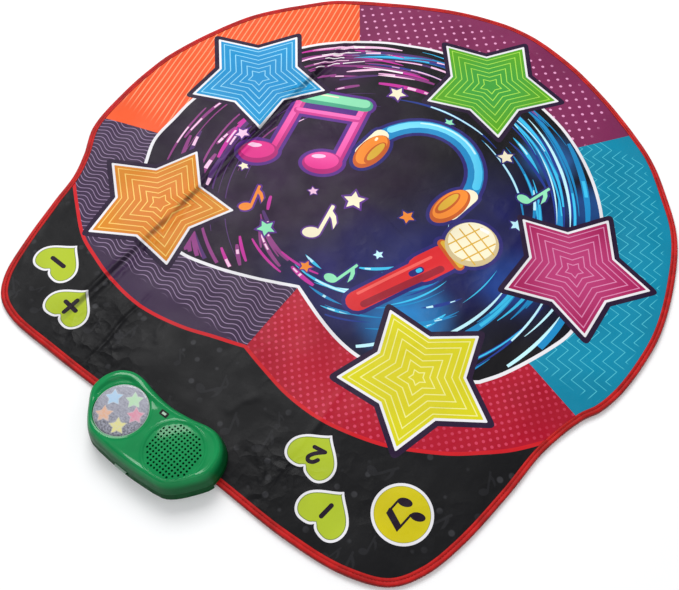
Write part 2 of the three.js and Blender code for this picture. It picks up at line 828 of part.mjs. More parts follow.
function addDoor() {
  const plain = block(doorXRange, doorYRange, [0, doorThickness]);
  const tabs = doorTabs(0, [doorThickness - doorTabThickness, doorThickness]);
  const bore = rod(doorBossPlace, doorScrewRadius + fitGap, [-overrun, doorThickness + overrun]);
  const headSink = rod(doorBossPlace, doorScrewHead + fitGap, [-overrun, doorScrewHeadHeight + fitGap / 2]);
  addPart("battery_door", cut(joined([plain, ...tabs]), [bore, headSink]), 0x1f8a4c, 0.4);
  const headTop = doorScrewHeadHeight;
  const screw = rod(doorBossPlace, doorScrewHead, [fitGap / 2, headTop])
    .add(rod(doorBossPlace, doorScrewRadius, [fitGap, headTop + doorScrewLength]));
  addPart("door_screw", screw, 0xa8acb0, 0.35, 0.9);
}

// Cells with their springs and plates
function cellRows() {
  const middle = (bayYRange[0] + bayYRange[1]) / 2;
  return Array.from({ length: cellCount }, (_, i) => middle + (i - (cellCount - 1) / 2) * cellPitch);
}

function cellHeight() {
  return floorThickness + cellRadius + fitGap;
}

function cellEnds(i) {
  const flatEnd = bayXRange[1] - fitGap - plateThickness - springLength() - fitGap;
  const ends = [flatEnd - cellLength, flatEnd];
  return i % 2 ? mirroredEnds(ends) : ends;
}

function mirroredEnds([low, high]) {
  return [2 * bayX - high, 2 * bayX - low];
}

function springLength() {
  return bayLength - cellLength - cellNub - 2 * plateThickness - 4 * fitGap;
}

function addCells() {
  cellRows().forEach((y, i) => {
    const [low, high] = cellEnds(i);
    const nubEnd = i % 2 ? high + cellNub : low - cellNub;
    const nubRange = [Math.min(nubEnd, high - overrun), Math.max(nubEnd, low + overrun)];
    const cell = rodAlongX([low, high], y, cellHeight(), cellRadius, cellSides)
      .add(rodAlongX(nubRange, y, cellHeight(), cellNubRadius, cellSides));
    addPart(`cell_${i + 1}`, cell, 0x3a4a5c, 0.4, 0.4);
  });
}

function addCellContacts() {
  bayXRange.forEach((x, side) => {
    const inner = side ? x - fitGap - plateThickness : x + fitGap;
    const strip = block([inner, inner + plateThickness], widened(bayYRange, -plateMargin),
      [floorThickness + fitGap, bayTop - fitGap]);
    const springs = cellRows().flatMap((y, i) => (i % 2 === side ? [] : [spring(y, side)]));
    const name = side ? "right_cell_contact" : "left_cell_contact";
    addPart(name, joined([strip, ...springs]), 0xc2c4c6, 0.3, 0.9);
  });
}

// A cell spring stands on its strip and narrows towards the cell
function spring(y, side) {
  const root = plateThickness / 2;
  const length = springLength() + root;
  const cone = new THREE.CylinderGeometry(springTip, springRadius, length, cellSides);
  cone.rotateZ(side ? Math.PI / 2 : -Math.PI / 2);
  const reach = fitGap + plateThickness - root + length / 2;
  cone.translate(side ? bayXRange[1] - reach : bayXRange[0] + reach, y, cellHeight());
  return solid(cone);
}

// Star window
function inlayPlaces() {
  return inlayTurnShares.map((share) => {
    const angle = share * 2 * Math.PI;
    return new THREE.Vector2(Math.cos(angle), Math.sin(angle)).multiplyScalar(inlayCircle).add(windowPlace);
  });
}

function addWindow() {
  const bottom = ledgeTop;
  const top = bottom + lensThickness;
  const lens = turned(windowPlace, [
    [0, bottom], [lensRadius, bottom], [lensRadius, top - lensBevel / 2],
    [lensRadius - lensBevel, top], [0, top],
  ], roundSides);
  const pockets = inlayPlaces().map((place) =>
    plate(star(place, inlayTip, inlayNotch, -90), [top - inlayDepth, top + overrun]));
  addPart("window_lens", cut(lens, pockets), 0xb4b4ba, 0.3);
}

function addIndicator() {
  const flangeTop = ceiling - fitGap;
  const stem = indicatorHole(0, [flangeTop - overrun, unitHeight - indicatorSink]);
  const flange = indicatorHole(indicatorBorder + indicatorFlange, [flangeTop - overrun, flangeTop]);
  addPart("indicator_lens", stem.add(flange), 0xdfe8d8, 0.3);
}

// Circuit board
function boardRanges() {
  return [
    [windowPlace.x - boardLength / 2, windowPlace.x + boardLength / 2],
    [windowPlace.y - boardDepth / 2, windowPlace.y + boardDepth / 2],
  ];
}

function addBoard() {
  const [xRange, yRange] = boardRanges();
  const holes = boardPosts().map((place) => circle(place, boardPilot, screwSides));
  const boardBottom = boardTop - boardThickness;
  addPart("circuit_board", plate(rectangle(xRange, yRange), [boardBottom, boardTop], holes), 0x1d6b3c, 0.5);
  const chip = block(
    widened([windowPlace.x + chipX - chipSize, windowPlace.x + chipX - chipSize], chipSize / 2),
    widened([windowPlace.y, windowPlace.y], chipSize / 2),
    [boardBottom - chipHeight, boardBottom],
  );
  const [tailLow, tailHigh] = tailRange((connectorLength - tailWidth) / 2);
  const connector = block(
    [tailLow, tailHigh], [tailY() - tailThickness - connectorDepth, tailY() - tailThickness],
    [boardBottom - connectorHeight, boardBottom],
  );
  addPart("sound_chip", chip, 0x222226, 0.5);
  addPart("tail_connector", connector, 0xe8e4d8, 0.5);
  inlayPlaces().forEach((place, i) => addPart(`${ledNames[i]}_led`, led(place), 0xf2efe6, 0.2));
  boardScrewPlaces().forEach((place, i) =>
    addPart(`board_screw_${i + 1}`, boardScrew(place, boardBottom), 0xa8acb0, 0.35, 0.9));
}

function led(place) {
  const shoulder = boardTop + ledHeight - ledRadius;
  return turned(place, [
    [0, boardTop], [ledRadius, boardTop], [ledRadius, shoulder],
    [ledRadius * Math.SQRT1_2, shoulder + ledRadius * Math.SQRT1_2], [0, shoulder + ledRadius],
  ], screwSides);
}

function boardScrew(place, boardBottom) {
  return rod(place, boardScrewHead, [boardBottom - boardScrewHeadHeight, boardBottom])
    .add(rod(place, boardScrewShaft, [boardBottom - overrun, boardBottom + boardScrewLength]));
}

function addTail() {
  const heights = [foamTop(), boardTop - boardThickness - fitGap];
  const tail = block(tailRange(), [tailY() - tailThickness / 2, tailY() + tailThickness / 2], heights);
  addPart("film_tail", tail, 0xd8cfa0, 0.4);
}

// Speaker
function addSpeaker() {
  const flangeBottom = speakerTop - speakerFlange;
  const foot = speakerTop - basketDepth;
  const throat = speakerRadius - speakerFlangeWidth;
  const basket = [
    [basketFoot - basketWall, foot], [basketFoot, foot], [throat + basketWall, flangeBottom],
    [speakerRadius, flangeBottom], [speakerRadius, speakerTop], [throat, speakerTop],
    [throat, flangeBottom], [basketFoot - basketWall, foot + basketWall],
  ];
  addPart("speaker_frame", turned(domePlace, [...basket, basket[0]], speakerSides), 0x55585c, 0.4, 0.7);
  const magnet = rod(domePlace, magnetRadius, [foot - magnetHeight, foot], speakerSides);
  addPart("speaker_magnet", magnet, 0x3a3a3e, 0.5, 0.5);
  addPart("speaker_cone", speakerCone(throat, foot), 0x17171a, 0.8);
}

function speakerCone(throat, foot) {
  const edge = throat - fitGap;
  const edgeTop = speakerTop - fitGap;
  const capBottom = foot + basketWall + 4 * coneThickness;
  return turned(domePlace, [
    [0, capBottom], [coneCapRadius, capBottom], [edge, edgeTop - coneThickness], [edge, edgeTop],
    [coneCapRadius, capBottom + 2 * coneThickness],
    [coneCapRadius / 2, capBottom + coneCapRise], [0, capBottom + coneCapRise],
  ], speakerSides);
}

// Power switch
function addSwitch() {
  const body = block(
    [switchX - switchBodyLength / 2, switchX + switchBodyLength / 2],
    [switchWallY(), switchWallY() + switchBodyDepth],
    [slotBottom, slotBottom + slotHeight],
  );
  addPart("power_switch_body", body, 0x2c2c30, 0.5);
  const left = switchX - slotLength / 2 + (slotLength - sliderLength - sliderTravel) / 2;
  const outside = unitY() - unitHalfDepth - sliderProud;
  const capBack = switchWallY() - fitGap - fitGap;
  const zRange = [slotBottom + (slotHeight - sliderHeight) / 2, slotBottom + (slotHeight + sliderHeight) / 2];
  const cap = block([left, left + sliderLength], [outside, capBack], zRange);
  const pitch = sliderLength / (sliderRibs + 1);
  const grooves = Array.from({ length: sliderRibs }, (_, i) => block(
    widened([left + (i + 1) * pitch, left + (i + 1) * pitch], sliderRibWidth / 2),
    [outside - overrun, outside + sliderProud / 2],
    widened(zRange, -sliderRibWidth),
  ));
  const stemMiddle = left + sliderLength / 2;
  const stemY = [capBack - overrun, switchWallY() - fitGap];
  const stem = block(widened([stemMiddle, stemMiddle], sliderStem / 2), stemY, widened(zRange, -sliderRibWidth));
  addPart("switch_slider", cut(cap, grooves).add(stem), 0xc6d2ca, 0.45);
}

// Fasteners
function addFasteners() {
  frontScrewPlaces.forEach((place, i) => {
    const screw = rod(place, screwHead, [fitGap, fitGap + screwHeadHeight])
      .add(rod(place, screwShaft, [fitGap + overrun, partingHeight + screwBite]));
    addPart(i ? "right_shell_screw" : "left_shell_screw", screw, 0xa8acb0, 0.35, 0.9);
  });
  clampPlaces.forEach((place, i) => {
    addPart(i ? "right_clamp_screw" : "left_clamp_screw", clampScrew(place), 0xa8acb0, 0.35, 0.9);
  });
}

// A wide flange under the contact layers holds the mat up against the unit
function clampScrew(place) {
  const flangeTop = lowerFilmTop();
  const flangeBottom = flangeTop - clampFlangeHeight;
  const flange = rod(place, clampFlange, [flangeBottom, flangeTop], 2 * screwSides);
  const head = rod(place, screwHead, [flangeBottom - clampHeadHeight, flangeBottom + clampFlangeHeight / 2]);
  const shaft = rod(place, screwShaft, [flangeBottom, partingHeight + screwBite]);
  return joined([flange, head, shaft]);
}

// Wires
function speakerWireRoute() {
  const start = windowPlace.x + boardLength / 2 - speakerWireStart;
  const end = domePlace.x - speakerWireEnd;
  return speakerWireShares.map((share, i) => [start + share * (end - start), ...speakerWireOffsets[i]]);
}

function cellWirePlaces() {
  const wall = bayXRange[1] + bayWall + wireRadius + fitGap;
  return cellWireRoute.map(([x, ...rest]) => [wall + x, ...rest]);
}

function wire(route, offset) {
  const places = route.map(([x, y, z]) => new THREE.Vector3(x, unitY() + y + offset, z));
  const path = new THREE.CatmullRomCurve3(places);
  const section = new THREE.Shape(circle(new THREE.Vector2(), wireRadius, wireSides));
  return solid(new THREE.ExtrudeGeometry(section, { steps: wireSteps, extrudePath: path }));
}

function wirePair(route) {
  return joined([-1, 1].map((side) => wire(route, (side * wirePairSpacing) / 2)));
}

function addWires() {
  addPart("speaker_wires", wirePair(speakerWireRoute()), 0xb8302c, 0.6);
  addPart("battery_wires", wirePair(cellWirePlaces()), 0x2a2a2c, 0.6);
}

addMatLayers();
addBinding();
addPads();
addLowerShell();
addUpperShell();
addDoor();
addCells();
addCellContacts();
addWindow();
addIndicator();
addBoard();
addTail();
addSpeaker();
addSwitch();
addFasteners();
addWires();

export default danceMat;
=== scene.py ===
"""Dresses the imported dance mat: printed sheet, keys, edging, layers, sound unit, studio and camera."""
import logging
import math
from collections.abc import Callable, Iterable, Sequence
from dataclasses import dataclass, field
from enum import Enum
from functools import partial, reduce

import bpy
import numpy as np
from mathutils import Matrix, Vector
from mathutils.geometry import delaunay_2d_cdt
from mathutils.kdtree import KDTree


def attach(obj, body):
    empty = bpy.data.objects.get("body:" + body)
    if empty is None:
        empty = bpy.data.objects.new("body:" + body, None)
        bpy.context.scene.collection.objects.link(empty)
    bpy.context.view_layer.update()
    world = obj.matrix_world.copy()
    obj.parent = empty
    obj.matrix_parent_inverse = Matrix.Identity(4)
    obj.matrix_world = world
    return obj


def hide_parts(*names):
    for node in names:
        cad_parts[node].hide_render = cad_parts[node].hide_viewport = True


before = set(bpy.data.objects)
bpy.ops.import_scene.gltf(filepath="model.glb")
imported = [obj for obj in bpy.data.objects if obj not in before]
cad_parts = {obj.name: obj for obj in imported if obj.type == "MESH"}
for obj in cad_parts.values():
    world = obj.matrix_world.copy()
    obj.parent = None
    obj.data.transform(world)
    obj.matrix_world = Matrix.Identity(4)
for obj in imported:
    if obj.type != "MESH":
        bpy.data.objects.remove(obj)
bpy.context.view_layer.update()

log = logging.getLogger("dance_mat")

MM = 0.001
DEGREE = math.pi / 180
SEED = 11
ROOT_BODY = "mat_and_unit"

Point = tuple[float, float]
Outline = list[Point]
Colour = tuple[float, float, float, float]
Height = Callable[[np.ndarray], np.ndarray]


def paint(code: str) -> Colour:
    """Turns a colour written as RRGGBB into the linear values that a shader takes.

    Args:
        code: Six hexadecimal digits.

    Returns:
        Linear red, green and blue with an alpha of one.
    """
    parts = [int(code[i:i + 2], 16) / 255 for i in (0, 2, 4)]
    linear = [p / 12.92 if p <= 0.04045 else ((p + 0.055) / 1.055) ** 2.4 for p in parts]
    return (*linear, 1.0)


def darker(code: str, share: float) -> Colour:
    """A colour written as RRGGBB that keeps a share of its light."""
    return (*(c * share for c in paint(code)[:3]), 1.0)


def metres(at: Point) -> Point:
    """A place written in millimetres."""
    return at[0] * MM, at[1] * MM


def in_metres(points: Iterable[Point]) -> Outline:
    """Places written in millimetres."""
    return [metres(at) for at in points]


# Flat shapes

def placed(outline: Iterable[Point], at: Point, degrees: float = 0.0, scale: float = 1.0) -> Outline:
    """Scales an outline, turns it round its own origin and moves it.

    Args:
        outline: Points round the origin.
        at: Where the origin goes.
        degrees: Anticlockwise turn.
        scale: Size factor.

    Returns:
        The placed points.
    """
    c, s = scale * math.cos(degrees * DEGREE), scale * math.sin(degrees * DEGREE)
    return [(at[0] + c * x - s * y, at[1] + s * x + c * y) for x, y in outline]


def ellipse(at: Point, across: float, along: float, degrees: float, sides: int) -> Outline:
    """An ellipse with full widths across and along, turned about its centre."""
    steps = [2 * math.pi * i / sides for i in range(sides)]
    return placed([(math.cos(a) * across / 2, math.sin(a) * along / 2) for a in steps], at, degrees)


def circle(at: Point, radius: float, sides: int) -> Outline:
    """A circle round a place."""
    return ellipse(at, 2 * radius, 2 * radius, 0, sides)


def rectangle(half_width: float, half_depth: float) -> Outline:
    """The corners of a rectangle round the origin."""
    return [(x * half_width, y * half_depth) for x, y in ((-1, -1), (1, -1), (1, 1), (-1, 1))]


def capsule(start: Point, end: Point, width: float) -> Outline:
    """A straight stroke with round ends.

    Args:
        start: Middle of its first end.
        end: Middle of its last end.
        width: Full width.

    Returns:
        Anticlockwise outline.
    """
    sides = 7
    lean = math.atan2(end[1] - start[1], end[0] - start[0])
    turns = [(at, lean + begin + math.pi * i / sides)
             for at, begin in ((end, -math.pi / 2), (start, math.pi / 2)) for i in range(sides + 1)]
    return [(at[0] + width / 2 * math.cos(a), at[1] + width / 2 * math.sin(a)) for at, a in turns]


def band(line: Sequence[Point], width: float | Sequence[float]) -> Outline:
    """An open line given a width, as one closed outline.

    Args:
        line: Points along the middle.
        width: One width, or one for each point.

    Returns:
        The outline of the stroke.
    """
    path = np.array(line, float)
    ahead = np.gradient(path, axis=0)
    ahead /= np.linalg.norm(ahead, axis=1)[:, None]
    half = (np.broadcast_to(width, len(path)) / 2)[:, None]
    side = np.stack([-ahead[:, 1], ahead[:, 0]], axis=1) * half
    return [tuple(p) for p in np.concatenate([path - side, (path + side)[::-1]])]


def arc(at: Point, radius: float, start: float, end: float, steps: int, drift: float = 0.0) -> Outline:
    """Points along an arc.

    Args:
        at: Centre.
        radius: Radius at the start.
        start: First angle in degrees.
        end: Last angle in degrees.
        steps: Number of pieces.
        drift: How much the radius has grown by the end.

    Returns:
        The points from start to end.
    """
    made = []
    for share in np.linspace(0, 1, steps + 1):
        angle = (start + (end - start) * share) * DEGREE
        reach = radius + drift * share
        made.append((at[0] + reach * math.cos(angle), at[1] + reach * math.sin(angle)))
    return made


def curve_span(four: Sequence[np.ndarray], steps: int) -> Outline:
    """The middle stretch of a centripetal Catmull-Rom curve through four points.

    Args:
        four: The points.
        steps: Pieces that the stretch is cut into.

    Returns:
        Points from the second of the four up to the third, without it.
    """
    gaps = [max(np.linalg.norm(b - a), 1e-9) ** 0.5 for a, b in zip(four, four[1:])]
    k = np.concatenate([[0], np.cumsum(gaps)])
    made = []
    for t in np.linspace(k[1], k[2], steps, endpoint=False):
        mixed = four
        for reach in (1, 2):
            mixed = [((k[i + reach] - t) * mixed[i] + (t - k[i]) * mixed[i + 1]) / (k[i + reach] - k[i])
                     for i in range(4 - reach)]
        made.append(tuple(((k[2] - t) * mixed[0] + (t - k[1]) * mixed[1]) / (k[2] - k[1])))
    return made


def smooth(points: Sequence[Point], steps: int, closed: bool = True) -> Outline:
    """A smooth curve through points.

    Args:
        points: The points that it passes through.
        steps: How many pieces each span is cut into.
        closed: Whether the last point joins the first.

    Returns:
        Points along the curve.
    """
    place = [np.array(p, float) for p in points]
    if closed:
        place = [place[-1], *place, place[0], place[1]]
    else:
        place = [2 * place[0] - place[1], *place, 2 * place[-1] - place[-2]]
    made = [p for i in range(len(place) - 3) for p in curve_span(place[i:i + 4], steps)]
    return made if closed else [*made, tuple(place[-2])]


def inward(outline: Sequence[Point], distance: float | np.ndarray) -> Outline:
    """Moves an anticlockwise outline inward, square to itself.

    Args:
        outline: Its points.
        distance: How far, as one distance or one for each point.

    Returns:
        The moved outline.
    """
    path = np.array(outline, float)
    ahead = np.roll(path, -1, axis=0) - np.roll(path, 1, axis=0)
    ahead /= np.linalg.norm(ahead, axis=1)[:, None]
    moved = path + np.stack([-ahead[:, 1], ahead[:, 0]], axis=1) * np.reshape(distance, (-1, 1))
    return [tuple(p) for p in moved]


def rounded(corners: Sequence[Point], radius: float, steps: int = 5) -> Outline:
    """A polygon whose outward corners are rounded.

    Args:
        corners: Anticlockwise corners.
        radius: How far from each outward corner the rounding starts.
        steps: Pieces in each rounding.

    Returns:
        The rounded outline.
    """
    made = []
    count = len(corners)
    for i in range(count):
        before, corner, after = (Vector(corners[(i + k) % count]) for k in (-1, 0, 1))
        if (corner - before).cross(after - corner) <= 0:
            made.append(tuple(corner))
            continue
        start = corner + (before - corner).normalized() * radius
        end = corner + (after - corner).normalized() * radius
        for t in np.linspace(0, 1, steps + 1):
            made.append(tuple(start.lerp(corner, t).lerp(corner.lerp(end, t), t)))
    return made


def star(at: Point, tip: float, notch: float, degrees: float) -> Outline:
    """The ten corners of a star, its first tip at the given angle."""
    reach = [(notch if i % 2 else tip, i * 36 + degrees) for i in range(10)]
    return [(at[0] + r * math.cos(a * DEGREE), at[1] + r * math.sin(a * DEGREE)) for r, a in reach]


def heart(width: float, height: float, steps: int = 10) -> Outline:
    """A heart whose tip is at the origin and whose lobes point to -Y.

    Args:
        width: Full width.
        height: Distance from the tip to the lobes' ends.
        steps: Pieces in each of its curves.

    Returns:
        Anticlockwise outline.
    """
    curves = (
        ((0, 0), (0.155, -0.2), (0.5, -0.33), (0.5, -0.665)),
        ((0.5, -0.665), (0.5, -0.87), (0.38, -1), (0.255, -1)),
        ((0.255, -1), (0.13, -1), (0.03, -0.96), (0, -0.875)),
    )
    right = []
    for a, b, c, d in (np.array(curve, float) for curve in curves):
        for t in np.linspace(0, 1, steps, endpoint=False):
            s = 1 - t
            right.append(s ** 3 * a + 3 * s * s * t * b + 3 * s * t * t * c + t ** 3 * d)
    right.append(np.array(curves[-1][-1], float))
    left = [p * (-1, 1) for p in right[1:-1]]
    return [tuple(p * (width, height)) for p in [*left, *right[::-1]]]


def loops_at(node: str, height: float) -> list[Outline]:
    """The outlines of a CAD node's level faces at one height.

    Args:
        node: Name of the CAD node.
        height: Height of the faces in metres.

    Returns:
        Closed outlines, the longest first, anticlockwise.
    """
    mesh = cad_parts[node].data
    places = {v.index: tuple(round(c, 6) for c in v.co) for v in mesh.vertices}
    ends = {}
    for polygon in mesh.polygons:
        corners = [places[i] for i in polygon.vertices]
        if all(abs(z - height) < 0.05 * MM for _, _, z in corners):
            for a, b in zip(corners, corners[1:] + corners[:1]):
                ends[(a[:2], b[:2])] = True
    rim = {a: b for a, b in ends if (b, a) not in ends}
    loops = []
    while rim:
        start = next(iter(rim))
        loop = [start]
        at = rim.pop(start)
        while at != start and at in rim:
            loop.append(at)
            at = rim.pop(at)
        loops.append(loop if area_of(loop) > 0 else loop[::-1])
    return sorted(loops, key=lambda loop: -abs(area_of(loop)))


def area_of(outline: Sequence[Point]) -> float:
    """Signed area of an outline, positive when anticlockwise."""
    x, y = np.array(outline, float).T
    return float((x * np.roll(y, -1) - y * np.roll(x, -1)).sum() / 2)


# Materials

class Shader:
    """One procedural material, built node by node on a Principled shader."""

    def __init__(self, name: str) -> None:
        """Starts the material with its object coordinates.

        Args:
            name: Name of the material.
        """
        self.material = bpy.data.materials.new(name)
        self.material.use_nodes = True
        self.tree = self.material.node_tree
        self.surface = self.tree.nodes["Principled BSDF"]
        self.place = self.node("ShaderNodeTexCoord").outputs["Object"]
        axes = self.node("ShaderNodeSeparateXYZ", Vector=self.place)
        self.x, self.y, self.z = axes.outputs

    def node(self, kind: str, settings: dict | None = None, **inputs: object) -> bpy.types.Node:
        """Adds a node.

        Args:
            kind: Type of the node.
            settings: Attributes to set on it.
            **inputs: Values or sockets for its inputs, by name.

        Returns:
            The new node.
        """
        made = self.tree.nodes.new(kind)
        for name, value in (settings or {}).items():
            setattr(made, name, value)
        for name, value in inputs.items():
            self.feed(made.inputs[name.replace("_", " ")], value)
        return made

    def feed(self, socket: bpy.types.NodeSocket, value: object) -> None:
        """Links a socket or sets its value.

        Args:
            socket: Input of a node.
            value: Output of another node, or a value.
        """
        if isinstance(value, bpy.types.NodeSocket):
            self.tree.links.new(value, socket)
        else:
            socket.default_value = value

    def calc(self, operation: str, *values: object, kind: str = "ShaderNodeMath") -> bpy.types.NodeSocket:
        """One Math or Vector Math node.

        Args:
            operation: Name of the operation.
            *values: Its inputs, values or sockets.
            kind: Type of the node.

        Returns:
            The result.
        """
        made = self.node(kind, {"operation": operation})
        for socket, value in zip(made.inputs, values):
            self.feed(socket, value)
        return made.outputs[0]

    def add(self, *values: object) -> bpy.types.NodeSocket:
        """Sum of two or more values."""
        return reduce(partial(self.calc, "ADD"), values)

    def times(self, *values: object) -> bpy.types.NodeSocket:
        """Product of two or more values."""
        return reduce(partial(self.calc, "MULTIPLY"), values)

    def ease(
        self, value: object, low: float, high: float, to_low: float = 0, to_high: float = 1
    ) -> bpy.types.NodeSocket:
        """Maps a value smoothly from one range to another.

        Args:
            value: Input.
            low: Input that gives to_low.
            high: Input that gives to_high.
            to_low: First result.
            to_high: Last result.

        Returns:
            The mapped value, held at the ends.
        """
        made = self.node("ShaderNodeMapRange", {"interpolation_type": "SMOOTHSTEP"})
        for name, number in (("From Min", low), ("From Max", high), ("To Min", to_low), ("To Max", to_high)):
            made.inputs[name].default_value = number
        self.feed(made.inputs["Value"], value)
        return made.outputs["Result"]

    def noise(
        self, scale: float, detail: float = 2, stretch: Sequence[float] | None = None
    ) -> bpy.types.NodeSocket:
        """Noise in object space.

        Args:
            scale: Cells per metre.
            detail: Octaves.
            stretch: Factors along each axis.

        Returns:
            Values round one half.
        """
        place = self.place
        if stretch:
            place = self.calc("MULTIPLY", self.place, tuple(stretch), kind="ShaderNodeVectorMath")
        return self.node("ShaderNodeTexNoise", Vector=place, Scale=scale, Detail=detail).outputs["Fac"]

    def blend(self, share: object, first: object, second: object) -> bpy.types.NodeSocket:
        """Mixes two colours.

        Args:
            share: How much of the second.
            first: Colour or socket.
            second: Colour or socket.

        Returns:
            The mixed colour.
        """
        made = self.node("ShaderNodeMix", {"data_type": "RGBA"})
        self.feed(made.inputs["Factor"], share)
        self.feed(made.inputs[6], first)
        self.feed(made.inputs[7], second)
        return made.outputs[2]

    def mottle(
        self, noise: object, first: object, second: object, low: float = 0.3, high: float = 0.7
    ) -> bpy.types.NodeSocket:
        """Mixes two colours by a noise, the first below its low value and the second above its high one."""
        return self.blend(self.ease(noise, low, high), first, second)

    def threads(self, pitch: float) -> bpy.types.NodeSocket:
        """Relief of a plain weave."""
        waves = (self.calc("SINE", self.times(axis, 2 * math.pi / pitch)) for axis in (self.x, self.y))
        return self.times(*waves)

    def cell(self, value: object, pitch: float) -> bpy.types.NodeSocket:
        """Signed distance from the middle of the repeat that a value lies in."""
        share = self.calc("FRACT", self.calc("DIVIDE", value, pitch))
        return self.times(self.calc("SUBTRACT", share, 0.5), pitch)

    def line(self, value: object, pitch: float, width: float) -> bpy.types.NodeSocket:
        """One inside repeated lines of a width, and zero between them."""
        away = self.calc("ABSOLUTE", self.cell(value, pitch))
        return self.ease(away, width / 2 + 0.2 * MM, width / 2 - 0.2 * MM)

    def length(self, x: object, y: object) -> bpy.types.NodeSocket:
        """Length of a pair of distances square to each other."""
        return self.calc("SQRT", self.add(self.times(x, x), self.times(y, y)))

    def away(self, at: Point) -> bpy.types.NodeSocket:
        """Distance across the mat from a place."""
        return self.length(self.calc("SUBTRACT", self.x, at[0]), self.calc("SUBTRACT", self.y, at[1]))

    def bump(self, height: object, distance: float, strength: float = 1.0) -> None:
        """Adds a layer of relief over those already there.

        Args:
            height: Relief as a value.
            distance: Depth of a height of one, in metres.
            strength: Share that shows.
        """
        made = self.node("ShaderNodeBump", Height=height, Distance=distance, Strength=strength)
        before = self.surface.inputs["Normal"].links
        if before:
            self.tree.links.new(before[0].from_socket, made.inputs["Normal"])
        self.tree.links.new(made.outputs["Normal"], self.surface.inputs["Normal"])

    def finish(self, **inputs: object) -> bpy.types.Material:
        """Sets the shader's inputs.

        Args:
            **inputs: Values or sockets, by the input's name.

        Returns:
            The material.
        """
        for name, value in inputs.items():
            self.feed(self.surface.inputs[name.replace("_", " ")], value)
        return self.material


class Pattern(Enum):
    """Figures printed on the sheet."""

    PLAIN = "plain"
    STRIPES = "stripes"
    WIDE_DOTS = "wide_dots"
    CLOSE_DOTS = "close_dots"
    ZIGZAG = "zigzag"
    WAVES = "waves"
    FAINT_DOTS = "faint_dots"
    GLOW = "glow"


CLOTH_ROUGHNESS = 0.40
CLOTH_WEAVE = 0.9 * MM


